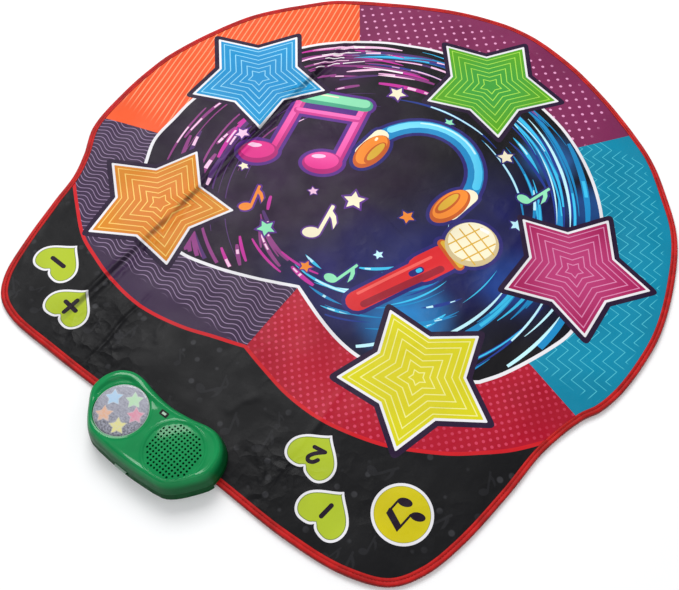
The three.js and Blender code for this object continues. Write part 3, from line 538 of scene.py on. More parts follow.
@dataclass(frozen=True)
class PrintedCloth:
    """Ink on the mat's coated cloth, with its weave, wrinkles and one printed figure."""

    name: str
    colour: str
    ink: str = "FFFFFF"
    pattern: Pattern = Pattern.PLAIN
    inner: str | None = None
    centre: Point = (0.0, 0.0)
    reach: float = 0.1

    def build(self) -> bpy.types.Material:
        """Makes the material.

        Returns:
            The printed cloth.
        """
        shader = Shader(self.name)
        colour = self.figure(shader, self.ground(shader))
        # Painted shade: a near-black colour along the long packing fold stands in for the fold's shading.
        colour = shader.blend(self.fold(shader), colour, paint("0C0A10"))
        rough = shader.ease(shader.noise(24, 3), 0.3, 0.7, CLOTH_ROUGHNESS - 0.06, CLOTH_ROUGHNESS + 0.08)
        add_cloth_relief(shader)
        return shader.finish(Base_Color=colour, Roughness=rough, Specular_IOR_Level=0.13)

    def fold(self, shader: Shader) -> bpy.types.NodeSocket:
        """How much painted shade darkens the print along the long packing fold.

        Args:
            shader: The material being made.

        Returns:
            Share of the painted fold shade.
        """
        sway = shader.times(shader.calc("SINE", shader.times(shader.y, 14)), 1.6 * MM)
        aside = shader.calc("ABSOLUTE", shader.add(shader.x, sway, 222.5 * MM))
        back = shader.ease(shader.y, 250 * MM, 150 * MM)
        front = shader.ease(shader.y, -440 * MM, -380 * MM)
        patchy = shader.ease(shader.noise(22, 3), 0.3, 0.62, 0.18, 0.62)
        return shader.times(shader.ease(aside, 6.5 * MM, 1.5 * MM), shader.times(back, front), patchy)

    def ground(self, shader: Shader) -> bpy.types.NodeSocket:
        """The colour under the figure, with its slow changes.

        Args:
            shader: The material being made.

        Returns:
            The colour.
        """
        ground = shader.mottle(shader.noise(9, 2), darker(self.colour, 0.86), paint(self.colour), 0.35, 0.65)
        if self.inner:
            share = shader.ease(shader.away(self.centre), 0.25 * self.reach, self.reach, 1, 0)
            ground = shader.blend(share, ground, paint(self.inner))
        return ground

    def figure(self, shader: Shader, ground: bpy.types.NodeSocket) -> bpy.types.NodeSocket:
        """Prints the figure over the ground.

        Args:
            shader: The material being made.
            ground: Colour under the figure.

        Returns:
            The printed colour.
        """
        drawn = {
            Pattern.STRIPES: self.stripes,
            Pattern.WIDE_DOTS: self.wide_dots,
            Pattern.CLOSE_DOTS: self.close_dots,
            Pattern.ZIGZAG: self.zigzag,
            Pattern.WAVES: self.waves,
            Pattern.FAINT_DOTS: self.faint_dots,
        }
        if self.pattern is Pattern.GLOW:
            return self.glow(shader, ground)
        if self.pattern not in drawn:
            return ground
        return shader.blend(drawn[self.pattern](shader), ground, paint(self.ink))

    def stripes(self, shader: Shader) -> bpy.types.NodeSocket:
        """Fine leaning stripes that fade towards the front.

        Args:
            shader: The material being made.

        Returns:
            Share of ink.
        """
        level, upright = math.cos(14 * DEGREE), math.sin(14 * DEGREE)
        across = shader.add(shader.times(shader.x, level), shader.times(shader.y, upright))
        fade = shader.ease(shader.y, -86 * MM, -48 * MM)
        return shader.times(shader.line(across, 8.7 * MM, 1.8 * MM), fade, 0.8)

    def dots(self, shader: Shader, pitch: float, row: float, size: float) -> bpy.types.NodeSocket:
        """Staggered rows of dots.

        Args:
            shader: The material being made.
            pitch: Distance between dots in a row.
            row: Distance between rows.
            size: Diameter of a dot.

        Returns:
            Share of ink.
        """
        rows = shader.calc("FLOOR", shader.calc("DIVIDE", shader.y, row))
        shift = shader.times(shader.calc("PINGPONG", rows, 1.0), pitch / 2)
        away = shader.length(shader.cell(shader.add(shader.x, shift), pitch), shader.cell(shader.y, row))
        return shader.ease(away, size / 2 + 0.3 * MM, size / 2 - 0.3 * MM)

    def wide_dots(self, shader: Shader) -> bpy.types.NodeSocket:
        """Small dots, left out along the rim and at the right-hand end.

        Args:
            shader: The material being made.

        Returns:
            Share of ink.
        """
        inside = shader.ease(shader.away((0, 0)), 432 * MM, 418 * MM)
        end = shader.ease(shader.x, 212 * MM, 196 * MM)
        return shader.times(self.dots(shader, 23 * MM, 11.4 * MM, 4.8 * MM), inside, end)

    def close_dots(self, shader: Shader) -> bpy.types.NodeSocket:
        """Larger, fainter dots that swell and fade across the field."""
        strong = shader.ease(shader.noise(8, 1), 0.35, 0.7, 0.35, 0.85)
        return shader.times(self.dots(shader, 12.4 * MM, 7.2 * MM, 4.2 * MM), strong)

    def zigzag(self, shader: Shader) -> bpy.types.NodeSocket:
        """Slanted zigzag lines, left out along the rim and towards the ends.

        Args:
            shader: The material being made.

        Returns:
            Share of ink.
        """
        level, upright = math.cos(34 * DEGREE), math.sin(34 * DEGREE)
        along = shader.add(shader.times(shader.x, upright), shader.times(shader.y, -level))
        across = shader.add(shader.times(shader.x, level), shader.times(shader.y, upright))
        swing = shader.times(shader.calc("PINGPONG", along, 14.8 * MM), 1.12)
        lines = shader.line(shader.add(across, swing), 15.3 * MM, 1.35 * MM)
        inside = shader.ease(shader.away((0, 0)), 431 * MM, 426 * MM)
        back = shader.ease(shader.y, 318 * MM, 310 * MM)
        front = shader.ease(shader.y, -98 * MM, -90 * MM)
        return shader.times(lines, inside, shader.times(back, front), 0.85)

    def waves(self, shader: Shader) -> bpy.types.NodeSocket:
        """Level wavy lines, left out along the front.

        Args:
            shader: The material being made.

        Returns:
            Share of ink.
        """
        slant = shader.add(shader.x, shader.times(shader.y, 0.22))
        swing = shader.times(shader.calc("SINE", shader.times(slant, 2 * math.pi / (39 * MM))), 3.7 * MM)
        lines = shader.line(shader.add(shader.y, swing), 7.05 * MM, 1.15 * MM)
        return shader.times(lines, shader.ease(shader.y, -306 * MM, -296 * MM), 0.85)

    def faint_dots(self, shader: Shader) -> bpy.types.NodeSocket:
        """Dots that can hardly be seen, in patches.

        Args:
            shader: The material being made.

        Returns:
            Share of ink.
        """
        spots = shader.node("ShaderNodeTexVoronoi", Vector=shader.place, Scale=44, Randomness=0.75)
        patches = shader.ease(shader.noise(30, 1), 0.35, 0.65, 0.02, 0.2)
        return shader.times(shader.ease(spots.outputs["Distance"], 0.22, 0.13), patches)

    def glow(self, shader: Shader, ground: bpy.types.NodeSocket) -> bpy.types.NodeSocket:
        """Coloured light on the dark disc.

        Args:
            shader: The material being made.
            ground: Colour of the disc.

        Returns:
            The lit colour.
        """
        for glow in STAGE_GLOWS:
            reach = glow.reach * MM
            share = shader.ease(shader.away(metres(glow.at)), reach, reach * GLOW_CORE, 0, glow.strength)
            cloud = shader.ease(shader.noise(14, 3), 0.3, 0.7, 0.55, 1.0)
            ground = shader.blend(shader.times(share, cloud), ground, paint(glow.colour))
        return ground


@dataclass(frozen=True)
class StageGlow:
    """A pool of coloured light printed on the disc, in millimetres."""

    at: Point
    reach: float
    colour: str
    strength: float


GLOW_CORE = 0.1
STAGE_GLOWS = (
    StageGlow((-150, -30), 330, "30183A", 1.0),
    StageGlow((200, 60), 190, "1A1C5C", 0.9),
    StageGlow((105, -100), 180, "1C2468", 0.9),
    StageGlow((10, -165), 120, "241C66", 0.6),
    StageGlow((150, -134), 84, "2494DC", 0.8),
    StageGlow((236, 0), 70, "1A4CA4", 0.7),
    StageGlow((176, 236), 60, "2A7CD0", 0.8),
    StageGlow((272, 186), 58, "1C64B8", 0.7),
    StageGlow((-200, 214), 70, "5A2060", 0.6),
)
CRUSHED_PLACES = (((-165, -405), 95), ((125, -425), 70))


def add_cloth_relief(shader: Shader) -> None:
    """Film wrinkles, crushed places and the weave under the coating.

    Args:
        shader: The material being made.
    """
    shader.bump(shader.noise(16, 3, (1.0, 0.45, 1.0)), 3.2 * MM, 0.5)
    shader.bump(shader.noise(70, 3), 0.7 * MM, 0.35)
    sway = shader.node("ShaderNodeTexNoise", Vector=shader.place, Scale=26, Detail=3).outputs["Color"]
    place = shader.calc("MULTIPLY_ADD", sway, (0.045, 0.045, 0.0), shader.place, kind="ShaderNodeVectorMath")
    facets = shader.node("ShaderNodeTexVoronoi", Vector=place, Scale=46).outputs["Distance"]
    crushed = shader.ease(shader.noise(7, 2), 0.5, 0.64, 0.0, 0.3)
    for at, reach in CRUSHED_PLACES:
        near = shader.ease(shader.away(metres(at)), reach * MM, reach * MM * 0.3, 0.0, 0.9)
        crushed = shader.add(crushed, near)
    shader.bump(shader.times(facets, crushed), 4.2 * MM, 0.6)
    shader.bump(shader.threads(CLOTH_WEAVE), 0.05 * MM, 0.5)


@dataclass(frozen=True)
class MouldedPlastic:
    """Moulded plastic with a faint mottle, fine grain and scuffs."""

    name: str
    colour: str
    worn: str
    roughness: float = 0.3
    grain: float = 0.02 * MM
    # Darker colour painted as shade lower down the walls.
    wall: str | None = None
    shine: float = 0.5
    coat: float = 0.0

    def build(self) -> bpy.types.Material:
        """Makes the material, with painted shade darkening its walls towards the wall colour lower down,
        where a wall colour is given.

        Returns:
            The plastic.
        """
        shader = Shader(self.name)
        colour = shader.mottle(shader.noise(38, 3), darker(self.colour, 0.84), paint(self.colour))
        scuffs = shader.ease(shader.noise(260, 4, (1, 0.3, 1)), 0.62, 0.8, 0, 0.25)
        colour = shader.blend(scuffs, colour, paint(self.worn))
        rough = shader.ease(shader.noise(90, 3), 0.3, 0.7, self.roughness - 0.05, self.roughness + 0.09)
        shader.bump(shader.noise(1500, 2), self.grain, 0.6)
        shader.finish(Specular_IOR_Level=self.shine, Coat_Weight=self.coat, Coat_Roughness=0.1)
        # Painted shade: below the rim the colour turns to the darker wall colour.
        if self.wall:
            high = shader.ease(shader.z, 24 * MM, 39.6 * MM)
            colour = shader.blend(high, paint(self.wall), colour)
            shader.finish(Coat_Weight=shader.times(shader.ease(shader.z, 35 * MM, 39.8 * MM), self.coat))
        return shader.finish(Base_Color=colour, Roughness=rough)


@dataclass(frozen=True)
class Metal:
    """Plated or turned metal with fine marks."""

    name: str
    colour: str

    def build(self) -> bpy.types.Material:
        """Makes the material.

        Returns:
            The metal.
        """
        shader = Shader(self.name)
        colour = shader.mottle(shader.noise(300, 3), darker(self.colour, 0.7), paint(self.colour))
        rough = shader.ease(shader.noise(500, 2), 0.3, 0.7, 0.22, 0.42)
        shader.bump(shader.noise(2200, 2, (1, 0.2, 1)), 0.02 * MM, 0.5)
        return shader.finish(Base_Color=colour, Roughness=rough, Metallic=1.0)


@dataclass(frozen=True)
class BindingTape:
    """Woven edging tape with a fine relief of threads."""

    name: str
    colour: str
    shade: str

    def build(self) -> bpy.types.Material:
        """Makes the material.

        Returns:
            The tape.
        """
        shader = Shader(self.name)
        colour = shader.mottle(shader.noise(60, 3), paint(self.shade), paint(self.colour))
        threads = shader.threads(0.8 * MM)
        colour = shader.blend(shader.ease(threads, 0.2, 0.9, 0, 0.25), colour, paint(self.shade))
        shader.bump(shader.noise(180, 2), 0.5 * MM, 0.5)
        shader.bump(threads, 0.08 * MM, 0.6)
        return shader.finish(Base_Color=colour, Roughness=0.42, Specular_IOR_Level=0.22)


@dataclass(frozen=True)
class NonSlipBacking:
    """Dark backing cloth with rows of raised grip dots."""

    name: str
    colour: str
    dots: str

    def build(self) -> bpy.types.Material:
        """Makes the material.

        Returns:
            The backing.
        """
        shader = Shader(self.name)
        dots = PrintedCloth(self.name, self.colour).dots(shader, 8 * MM, 4 * MM, 2.2 * MM)
        ground = shader.mottle(shader.noise(30, 3), paint("141416"), paint(self.colour))
        colour = shader.blend(dots, ground, paint(self.dots))
        shader.bump(shader.noise(16, 3), 2 * MM, 0.4)
        shader.bump(dots, 0.4 * MM, 0.8)
        rough = shader.blend(dots, (0.85, 0.85, 0.85, 1), (0.55, 0.55, 0.55, 1))
        return shader.finish(Base_Color=colour, Roughness=rough)


@dataclass(frozen=True)
class FrostedWindow:
    """Frosted plastic over a mottled silver card."""

    name: str
    colour: str
    shade: str

    def build(self) -> bpy.types.Material:
        """Makes the material, with painted light making it paler and painted highlight streaks towards the
        back left.

        Returns:
            The frosted plastic.
        """
        shader = Shader(self.name)
        colour = shader.mottle(shader.noise(420, 4), paint(self.shade), paint(self.colour), 0.32, 0.68)
        # Painted highlight: pale streaks and a paler face near the back left stand in for light on the
        # window.
        highlight_streak = shader.ease(shader.noise(130, 3, (1, 3, 1)), 0.35, 0.65, 0, 0.55)
        lit = shader.ease(shader.away(metres((-66, -444))), 24 * MM, 66 * MM, 0.9, 0.0)
        colour = shader.blend(shader.times(highlight_streak, lit), colour, paint("C6CAD8"))
        colour = shader.blend(shader.ease(lit, 0.1, 0.9, 0.0, 0.62), colour, paint(self.colour))
        shader.bump(shader.noise(700, 3), 0.12 * MM, 0.6)
        return shader.finish(
            Base_Color=colour, Roughness=0.28, Coat_Weight=0.6, Coat_Roughness=0.12, Specular_IOR_Level=0.5)


# Meshes

def make_piece(
    name: str,
    points: Sequence[Sequence[float]],
    faces: Sequence[Sequence[int]],
    materials: Sequence[bpy.types.Material],
    kinds: Sequence[int] | None = None,
    normals: np.ndarray | None = None,
) -> bpy.types.Object:
    """Makes a smooth-shaded mesh object in the mat's frame.

    Args:
        name: Name of the piece.
        points: Vertices in metres.
        faces: Vertex numbers of each face.
        materials: Materials of the piece.
        kinds: Material number of each face.
        normals: One normal for each vertex, where the surface gives them.

    Returns:
        The new object.
    """
    mesh = bpy.data.meshes.new(name)
    mesh.from_pydata([tuple(p) for p in points], [], [tuple(f) for f in faces])
    for material in materials:
        mesh.materials.append(material)
    if kinds is not None:
        mesh.polygons.foreach_set("material_index", np.array(kinds, np.int32))
    mesh.polygons.foreach_set("use_smooth", np.ones(len(mesh.polygons), bool))
    if normals is not None:
        mesh.normals_split_custom_set_from_vertices([tuple(n) for n in normals])
    made = bpy.data.objects.new(name, mesh)
    bpy.context.scene.collection.objects.link(made)
    return made


@dataclass
class Panel:
    """A cut piece whose faces follow its outline, its holes and what is printed on it."""

    name: str
    outline: Outline
    base: bpy.types.Material
    top: Height
    thickness: float
    spacing: float
    patches: list[tuple[Outline, bpy.types.Material]] = field(default_factory=list)
    holes: list[Outline] = field(default_factory=list)
    extra: list[Point] = field(default_factory=list)
    face_down: bool = False

    def build(self) -> bpy.types.Object:
        """Makes the panel's mesh, with walls along its cut edges.

        Returns:
            The panel.
        """
        flat, corners, kinds, materials = self.divide()
        top = np.column_stack([flat, self.top(flat)])
        normals = self.top_normals(flat)
        rim = self.rim_edges(corners)
        wall, wall_faces, wall_normals, spread = self.walls(top, rim)
        kinds_of_rim = dict(zip(((a, b) for tri in corners for a, b in zip(tri, tri[1:] + tri[:1])),
                                (k for k in kinds for _ in range(3))))
        points = np.vstack([top, wall])
        faces = [*corners, *wall_faces]
        if self.face_down:
            faces = [face[::-1] for face in faces]
            normals = normals * (1, 1, -1)
        kinds = [*kinds, *(kinds_of_rim[edge] for edge in rim)]
        made = make_piece(self.name, points, faces, materials, kinds, np.vstack([normals, wall_normals]))
        self.lay_out(made, np.vstack([flat, spread]))
        return made

    def divide(self) -> tuple[np.ndarray, list[list[int]], list[int], list[bpy.types.Material]]:
        """Cuts the panel into triangles along its patches.

        Returns:
            Places, triangles, the material number of each and the materials.
        """
        shapes = [self.outline, *self.holes, *(shape for shape, _ in self.patches)]
        points, faces = [], []
        for shape in shapes:
            ordered = shape if area_of(shape) > 0 else shape[::-1]
            faces.append(list(range(len(points), len(points) + len(ordered))))
            points.extend(ordered)
        points.extend(self.grid())
        points.extend(self.extra)
        found = delaunay_2d_cdt([Vector(p) for p in points], [], faces, 0, 1e-6, True)
        materials = [self.base]
        numbers = []
        for _, material in self.patches:
            if material not in materials:
                materials.append(material)
            numbers.append(materials.index(material))
        first_patch = 1 + len(self.holes)
        corners, kinds = [], []
        for corner, owners in zip(found[2], found[5]):
            if 0 in owners and not any(0 < owner < first_patch for owner in owners):
                top = max(owners)
                corners.append(list(corner))
                kinds.append(numbers[top - first_patch] if top else 0)
        used, flat_corners = np.unique(np.array(corners), return_inverse=True)
        places = np.array([tuple(p) for p in found[0]])[used]
        return places, flat_corners.reshape(-1, 3).tolist(), kinds, materials

    def grid(self) -> list[Point]:
        """Inner points, a little scattered so that no rows show.

        Returns:
            Points clear of the extra ones.
        """
        shape = np.array(self.outline)
        low, high = shape.min(0), shape.max(0)
        scatter = np.random.default_rng(SEED)
        xs, ys = (np.arange(low[k] + self.spacing / 2, high[k], self.spacing) for k in (0, 1))
        places = np.array([(x, y) for y in ys for x in xs]).reshape(-1, 2)
        places += scatter.uniform(-0.2, 0.2, places.shape) * self.spacing
        if not self.extra:
            return [tuple(p) for p in places]
        taken = KDTree(len(self.extra))
        for number, place in enumerate(self.extra):
            taken.insert((*place, 0), number)
        taken.balance()
        return [tuple(p) for p in places if taken.find((*p, 0))[2] > 0.6 * self.spacing]

    def top_normals(self, flat: np.ndarray) -> np.ndarray:
        """Normals of the upper surface, from its slopes.

        Args:
            flat: Places as rows of x and y.

        Returns:
            One normal for each place.
        """
        step = 0.2 * MM
        slopes = [(self.top(flat + move) - self.top(flat - move)) / (2 * step)
                  for move in (np.array([step, 0]), np.array([0, step]))]
        normals = np.column_stack([-slopes[0], -slopes[1], np.ones(len(flat))])
        return normals / np.linalg.norm(normals, axis=1)[:, None]

    def rim_edges(self, corners: list[list[int]]) -> list[tuple[int, int]]:
        """Edges that only one triangle uses, in its own direction."""
        directed = {(a, b) for tri in corners for a, b in zip(tri, tri[1:] + tri[:1])}
        return sorted(edge for edge in directed if edge[::-1] not in directed)

    def walls(
        self, top: np.ndarray, rim: list[tuple[int, int]]
    ) -> tuple[np.ndarray, list[list[int]], np.ndarray, np.ndarray]:
        """Walls below the rim, on vertices of their own.

        Args:
            top: Vertices of the upper surface.
            rim: Its open edges.

        Returns:
            Wall vertices, faces, normals and their places in the flat layout.
        """
        first = len(top)
        numbers = {v: i for i, v in enumerate(sorted({v for edge in rim for v in edge}))}
        outside = np.zeros((len(numbers), 2))
        for a, b in rim:
            along = top[b, :2] - top[a, :2]
            for v in (a, b):
                outside[numbers[v]] += (along[1], -along[0])
        outside /= np.maximum(np.linalg.norm(outside, axis=1), 1e-12)[:, None]
        ring = top[list(numbers)]
        lower = ring - (0, 0, -self.thickness if self.face_down else self.thickness)
        count = len(numbers)
        faces = [[first + n for n in (numbers[b], numbers[a], count + numbers[a], count + numbers[b])]
                 for a, b in rim]
        normals = np.column_stack([outside, np.zeros(count)])
        spread = np.vstack([ring[:, :2], ring[:, :2] + outside * self.thickness])
        return np.vstack([ring, lower]), faces, np.vstack([normals, normals]), spread

    def lay_out(self, made: bpy.types.Object, flat: np.ndarray) -> None:
        """Gives the panel its flat layout for the baked texture.

        Args:
            made: The panel.
            flat: Place of each vertex in the layout.
        """
        low, high = flat.min(0) - 2 * MM, flat.max(0) + 2 * MM
        shares = (flat - low) / (high - low).max()
        layer = made.data.uv_layers.new(name="OFBake")
        index = np.zeros(len(made.data.loops), np.int32)
        made.data.loops.foreach_get("vertex_index", index)
        layer.data.foreach_set("uv", shares[index].astype(np.float32).ravel())


def loft(rings: Sequence[np.ndarray], first: int = 0, closed: bool = True) -> tuple[list, list[list[int]]]:
    """Skins rings of equal count.

    Args:
        rings: Rings of vertices, from the first to the last.
        first: Number of the first vertex.
        closed: Whether each ring joins up.

    Returns:
        Vertices and faces, facing outward for anticlockwise rings that rise.
    """
    count = len(rings[0])
    faces = []
    for row in range(len(rings) - 1):
        for i in range(count if closed else count - 1):
            a, b = first + row * count + i, first + row * count + (i + 1) % count
            faces.append([a, b, b + count, a + count])
    return [tuple(p) for ring in rings for p in ring], faces


def at_height(outline: Sequence[Point], z: float) -> np.ndarray:
    """A flat outline raised to a height."""
    return np.column_stack([np.array(outline, float), np.full(len(outline), z)])


class Paintbox:
    """Makes each finish once and hands it out again."""

    def __init__(self) -> None:
        """Starts empty."""
        self.made: dict[str, bpy.types.Material] = {}

    def get(self, finish: object) -> bpy.types.Material:
        """Hands out the material of a finish, made the first time it is asked for.

        Args:
            finish: The finish.

        Returns:
            Its material.
        """
        if finish.name not in self.made:
            self.made[finish.name] = finish.build()
        return self.made[finish.name]


paintbox = Paintbox()


# How the mat lies

MAT_HALF_WIDTH = 450 * MM
MAT_BACK_REACH = 461 * MM
MAT_FRONT_REACH = 468.5 * MM
SHEET_TOP = 6 * MM
SHEET_INSET = 7 * MM
LAYER_INSET = 4 * MM
SWELL_COUNT = 18
SWELL_SLOPE = 0.0021
UNIT_AT = (-8 * MM, -469.75 * MM)
UNIT_HALF = (101.5 * MM, 52.75 * MM)

MAT_SHARES = (
    (0.993, -0.0003), (0.9891, 0.1179), (0.9511, 0.2913), (0.884, 0.4631), (0.7736, 0.6103),
    (0.6631, 0.7205), (0.4401, 0.86), (0.22, 0.9558), (0, 0.9952), (-0.2197, 0.9546), (-0.4378, 0.8553),
    (-0.6606, 0.7177), (-0.768, 0.6056), (-0.877, 0.4591), (-0.947, 0.2898), (-0.9912, 0.1182),
    (-1.0005, 0), (-0.9954, -0.1284), (-0.9663, -0.3002), (-0.9027, -0.4071), (-0.863, -0.4915),
    (-0.8391, -0.5974), (-0.8001, -0.7511), (-0.7552, -0.8775), (-0.703, -0.9388), (-0.625, -0.9695),
    (-0.4457, -0.9807), (-0.1332, -0.9853), (0.2226, -0.9977), (0.4463, -1.0039), (0.6265, -0.9868),
    (0.7391, -0.9424), (0.7959, -0.8671), (0.8337, -0.7527), (0.8642, -0.5698), (0.8826, -0.4088),
    (0.9261, -0.268), (0.957, -0.2132), (0.9812, -0.1278),
)


def mat_outline(spacing: float) -> Outline:
    """The mat's rim at an even spacing, anticlockwise."""
    corners = [(x * MAT_HALF_WIDTH, y * (MAT_BACK_REACH if y > 0 else MAT_FRONT_REACH))
               for x, y in MAT_SHARES]
    return even(smooth(corners, 12), spacing)


def even(outline: Sequence[Point], spacing: float) -> Outline:
    """Cuts a closed outline again into pieces of one length.

    Args:
        outline: Its points.
        spacing: Length that the pieces come near to.

    Returns:
        The new points.
    """
    path = np.array([*outline, outline[0]], float)
    run = np.concatenate([[0], np.cumsum(np.linalg.norm(np.diff(path, axis=0), axis=1))])
    stops = np.linspace(0, run[-1], max(3, round(run[-1] / spacing)), endpoint=False)
    return [tuple(p) for p in np.column_stack([np.interp(stops, run, path[:, k]) for k in (0, 1)])]


def soft_step(value: float | np.ndarray, low: float, high: float) -> float | np.ndarray:
    """Rises smoothly from zero at low to one at high."""
    share = np.clip((value - low) / (high - low), 0, 1)
    return share * share * (3 - 2 * share)


@dataclass(frozen=True)
class Crease:
    """A fold that packing left in the mat, with a shoulder on each side."""

    start: Point
    end: Point
    height: float
    width: float
    shoulder: float

    def lift(self, flat: np.ndarray) -> np.ndarray:
        """Height of the fold over flat places.

        Args:
            flat: Places as rows of x and y.

        Returns:
            Height at each place.
        """
        start, along = np.array(self.start), np.subtract(self.end, self.start)
        length = np.linalg.norm(along)
        share = (flat - start) @ along / length ** 2
        aside = (flat - start) @ np.array([-along[1], along[0]]) / length
        fade = soft_step(share, 0, 0.2) * soft_step(share, 1, 0.8)
        reach = (aside - wander(share, length)) / self.width
        ridge = self.height * np.exp(-reach ** 2)
        sides = self.shoulder * np.exp(-(np.abs(reach) - 2.2) ** 2)
        return fade * (ridge + sides)


def wander(share: float | np.ndarray, length: float) -> float | np.ndarray:
    """How far a fold strays sideways at a share of its length."""
    return 1.6 * MM * np.sin(share * 11 + length * 40)


CREASES = tuple(
    Crease(metres(start), metres(end), height * MM, width * MM, shoulder * MM)
    for start, end, height, width, shoulder in (
        ((-222, 330), (-219, -452), -1.5, 3.8, 1.8),
        ((-156, -300), (-152, -455), -0.8, 2.6, 0.4),
        ((146, -235), (143, -462), 0.9, 5.5, 0),
        ((205, 330), (212, -240), 0.5, 7, 0),
        ((-390, -158), (-120, -166), 0.5, 8, 0),
        ((-120, -395), (-182, -432), 0.9, 5, 0),
        ((-95, -372), (-118, -330), 0.7, 5, 0),
        ((104, -398), (142, -436), 0.8, 4.5, 0),
        ((40, -392), (62, -340), 0.6, 6, 0),
        ((-380, 60), (-300, 210), 0.5, 9, 0),
        ((-330, -400), (-372, -300), 0.7, 7, 0),
    )
)


class Lie:
    """How the laid mat swells and creases, as a height over its flat place."""

    def __init__(self, creases: Sequence[Crease]) -> None:
        """Draws the swells.

        Args:
            creases: Folds to add.
        """
        draws = np.random.default_rng(SEED)
        length = np.geomspace(62 * MM, 260 * MM, SWELL_COUNT)
        turn = draws.uniform(0, math.pi, SWELL_COUNT)
        self.creases = creases
        self.wave = (2 * math.pi / length)[:, None] * np.column_stack([np.cos(turn), np.sin(turn)])
        self.phase = draws.uniform(0, 2 * math.pi, SWELL_COUNT)
        self.size = SWELL_SLOPE * length * draws.uniform(0.6, 1.2, SWELL_COUNT)

    def lift(self, flat: np.ndarray) -> np.ndarray:
        """Height over flat places, held down beside and under the sound unit.

        Args:
            flat: Places as rows of x and y.

        Returns:
            Height at each place.
        """
        flat = np.asarray(flat, float)
        swell = (np.sin(flat @ self.wave.T + self.phase) * self.size).sum(1)
        total = np.maximum(swell, -0.6 * MM) + sum(crease.lift(flat) for crease in self.creases)
        floor_at, give = -0.6 * MM, 0.5 * MM
        total = np.where(total > floor_at, total, floor_at + give * np.tanh((total - floor_at) / give))
        near = np.linalg.norm((flat - UNIT_AT) / (UNIT_HALF[0] + 14 * MM, UNIT_HALF[1] + 14 * MM), axis=1)
        return total * soft_step(near, 0.92, 1.3)


LIE = Lie(CREASES)


def sheet_height(flat: np.ndarray) -> np.ndarray:
    """Height of the printed sheet's face."""
    return SHEET_TOP + LIE.lift(flat)


# Printed sheet

WHITE_LINE = PrintedCloth("white_line", "E6E4E8")
RED_LINE = PrintedCloth("red_line", "CC1A24")
STAR_SHADOW = PrintedCloth("star_shadow", "2A1836")
FIELDS = (
    (PrintedCloth("plum_field", "7E2A56", "DE98C0", Pattern.WIDE_DOTS),
     ((0, 0), (195, 280), (286, 403), (286, 560), (-301, 560), (-301, 396), (-210, 268))),
    (PrintedCloth("teal_field", "0A88A8", "58C8D6", Pattern.ZIGZAG),
     ((0, 0), (325, -95), (470, -145), (560, -145), (560, 560), (286, 560), (286, 403), (195, 280))),
    (PrintedCloth("orange_field", "EE5826", "F8A87C", Pattern.STRIPES),
     ((0, 0), (-210, 268), (-301, 396), (-301, 560), (-560, 560), (-560, -154), (-350, -88))),
    (PrintedCloth("purple_field", "3E2C48", "A088AA", Pattern.WAVES),
     ((0, 0), (-350, -88), (-560, -154), (-560, -600), (1.5, -600))),
    (PrintedCloth("crimson_field", "AE0E2A", "D44462", Pattern.CLOSE_DOTS),
     ((0, 0), (1.5, -600), (560, -600), (560, -145), (470, -145), (325, -95))),
)
APRON = PrintedCloth("apron", "19191B", "6A6A70", Pattern.FAINT_DOTS)
STAGE_DISC = PrintedCloth("stage_disc", "121116", pattern=Pattern.GLOW)

PRINT_SHIFT = (2 * MM, -3 * MM)
OUTER_LINE_LEFT = (
    (-435, -191), (-381, -235), (-345, -264), (-300, -297), (-260, -313), (-220, -325), (-155, -334),
    (-90, -325), (-40, -310), (0, -297),
)
OUTER_LINE_RIGHT = (
    (0, -297), (40, -308), (90, -319), (140, -321), (180, -315), (226, -302), (250, -291), (300, -263),
    (330, -240), (360, -213), (389, -178), (436, -118),
)
INNER_BACK = (
    (280, -155), (300, -125), (330, -60), (343, -10), (330, 89), (296, 171), (242, 242), (171, 296),
    (89, 330), (0, 342), (-89, 330), (-171, 296), (-243, 243), (-299, 173), (-336, 90), (-349, 0),
    (-347, -50), (-342, -100), (-320, -145),
)
INNER_LEFT = ((-320, -145), (-280, -192), (-225, -226), (-170, -235), (-120, -226), (-60, -207), (0, -180))
INNER_RIGHT = ((0, -180), (60, -205), (100, -216), (135, -219), (180, -212), (230, -192), (280, -155))


def run_through(*stretches: Sequence[Point]) -> Outline:
    """One line of smooth stretches, with a corner where two meet.

    Args:
        *stretches: Points of each stretch in millimetres.

    Returns:
        The line in metres.
    """
    made = []
    for stretch in stretches:
        line = smooth(in_metres(stretch), 6, closed=False)
        made.extend(line if not made else line[1:])
    return made


@dataclass(frozen=True)
class Stroke:
    """A round-ended stroke of a printed figure, in millimetres."""

    start: Point
    end: Point
    width: float

    def outline(self, spread: float = 0.0) -> Outline:
        """The stroke's outline, made wider all round by a spread."""
        return capsule(self.start, self.end, self.width + 2 * spread)


@dataclass(frozen=True)
class Blob:
    """An oval of a printed figure, in millimetres."""

    at: Point
    across: float
    along: float
    turn: float = 0.0

    def outline(self, spread: float = 0.0) -> Outline:
        """The oval's outline, made wider all round by a spread."""
        return ellipse(self.at, self.across + 2 * spread, self.along + 2 * spread, self.turn, 36)


@dataclass(frozen=True)
class Cut:
    """A straight-sided shape of a printed figure, in millimetres."""

    corners: tuple[Point, ...]

    def outline(self, spread: float = 0.0) -> Outline:
        """The shape's outline, moved outward by a spread."""
        return inward(self.corners, -spread)


@dataclass(frozen=True)
class Figure:
    """A printed figure: shapes that share one outline colour."""

    at: Point
    turn: float
    scale: float
    shapes: tuple[tuple[PrintedCloth, object], ...]
    rim: PrintedCloth
    rim_width: float

    def patches(self) -> list[tuple[Outline, bpy.types.Material]]:
        """The outlines first, then the shapes over them.

        Returns:
            Placed outlines with their materials.
        """
        placings = [(self.rim, shape, self.rim_width / self.scale) for _, shape in self.shapes]
        placings += [(finish, shape, 0.0) for finish, shape in self.shapes]
        return [(placed(in_metres(shape.outline(spread)), metres(self.at), self.turn, self.scale),
                 paintbox.get(finish)) for finish, shape, spread in placings]


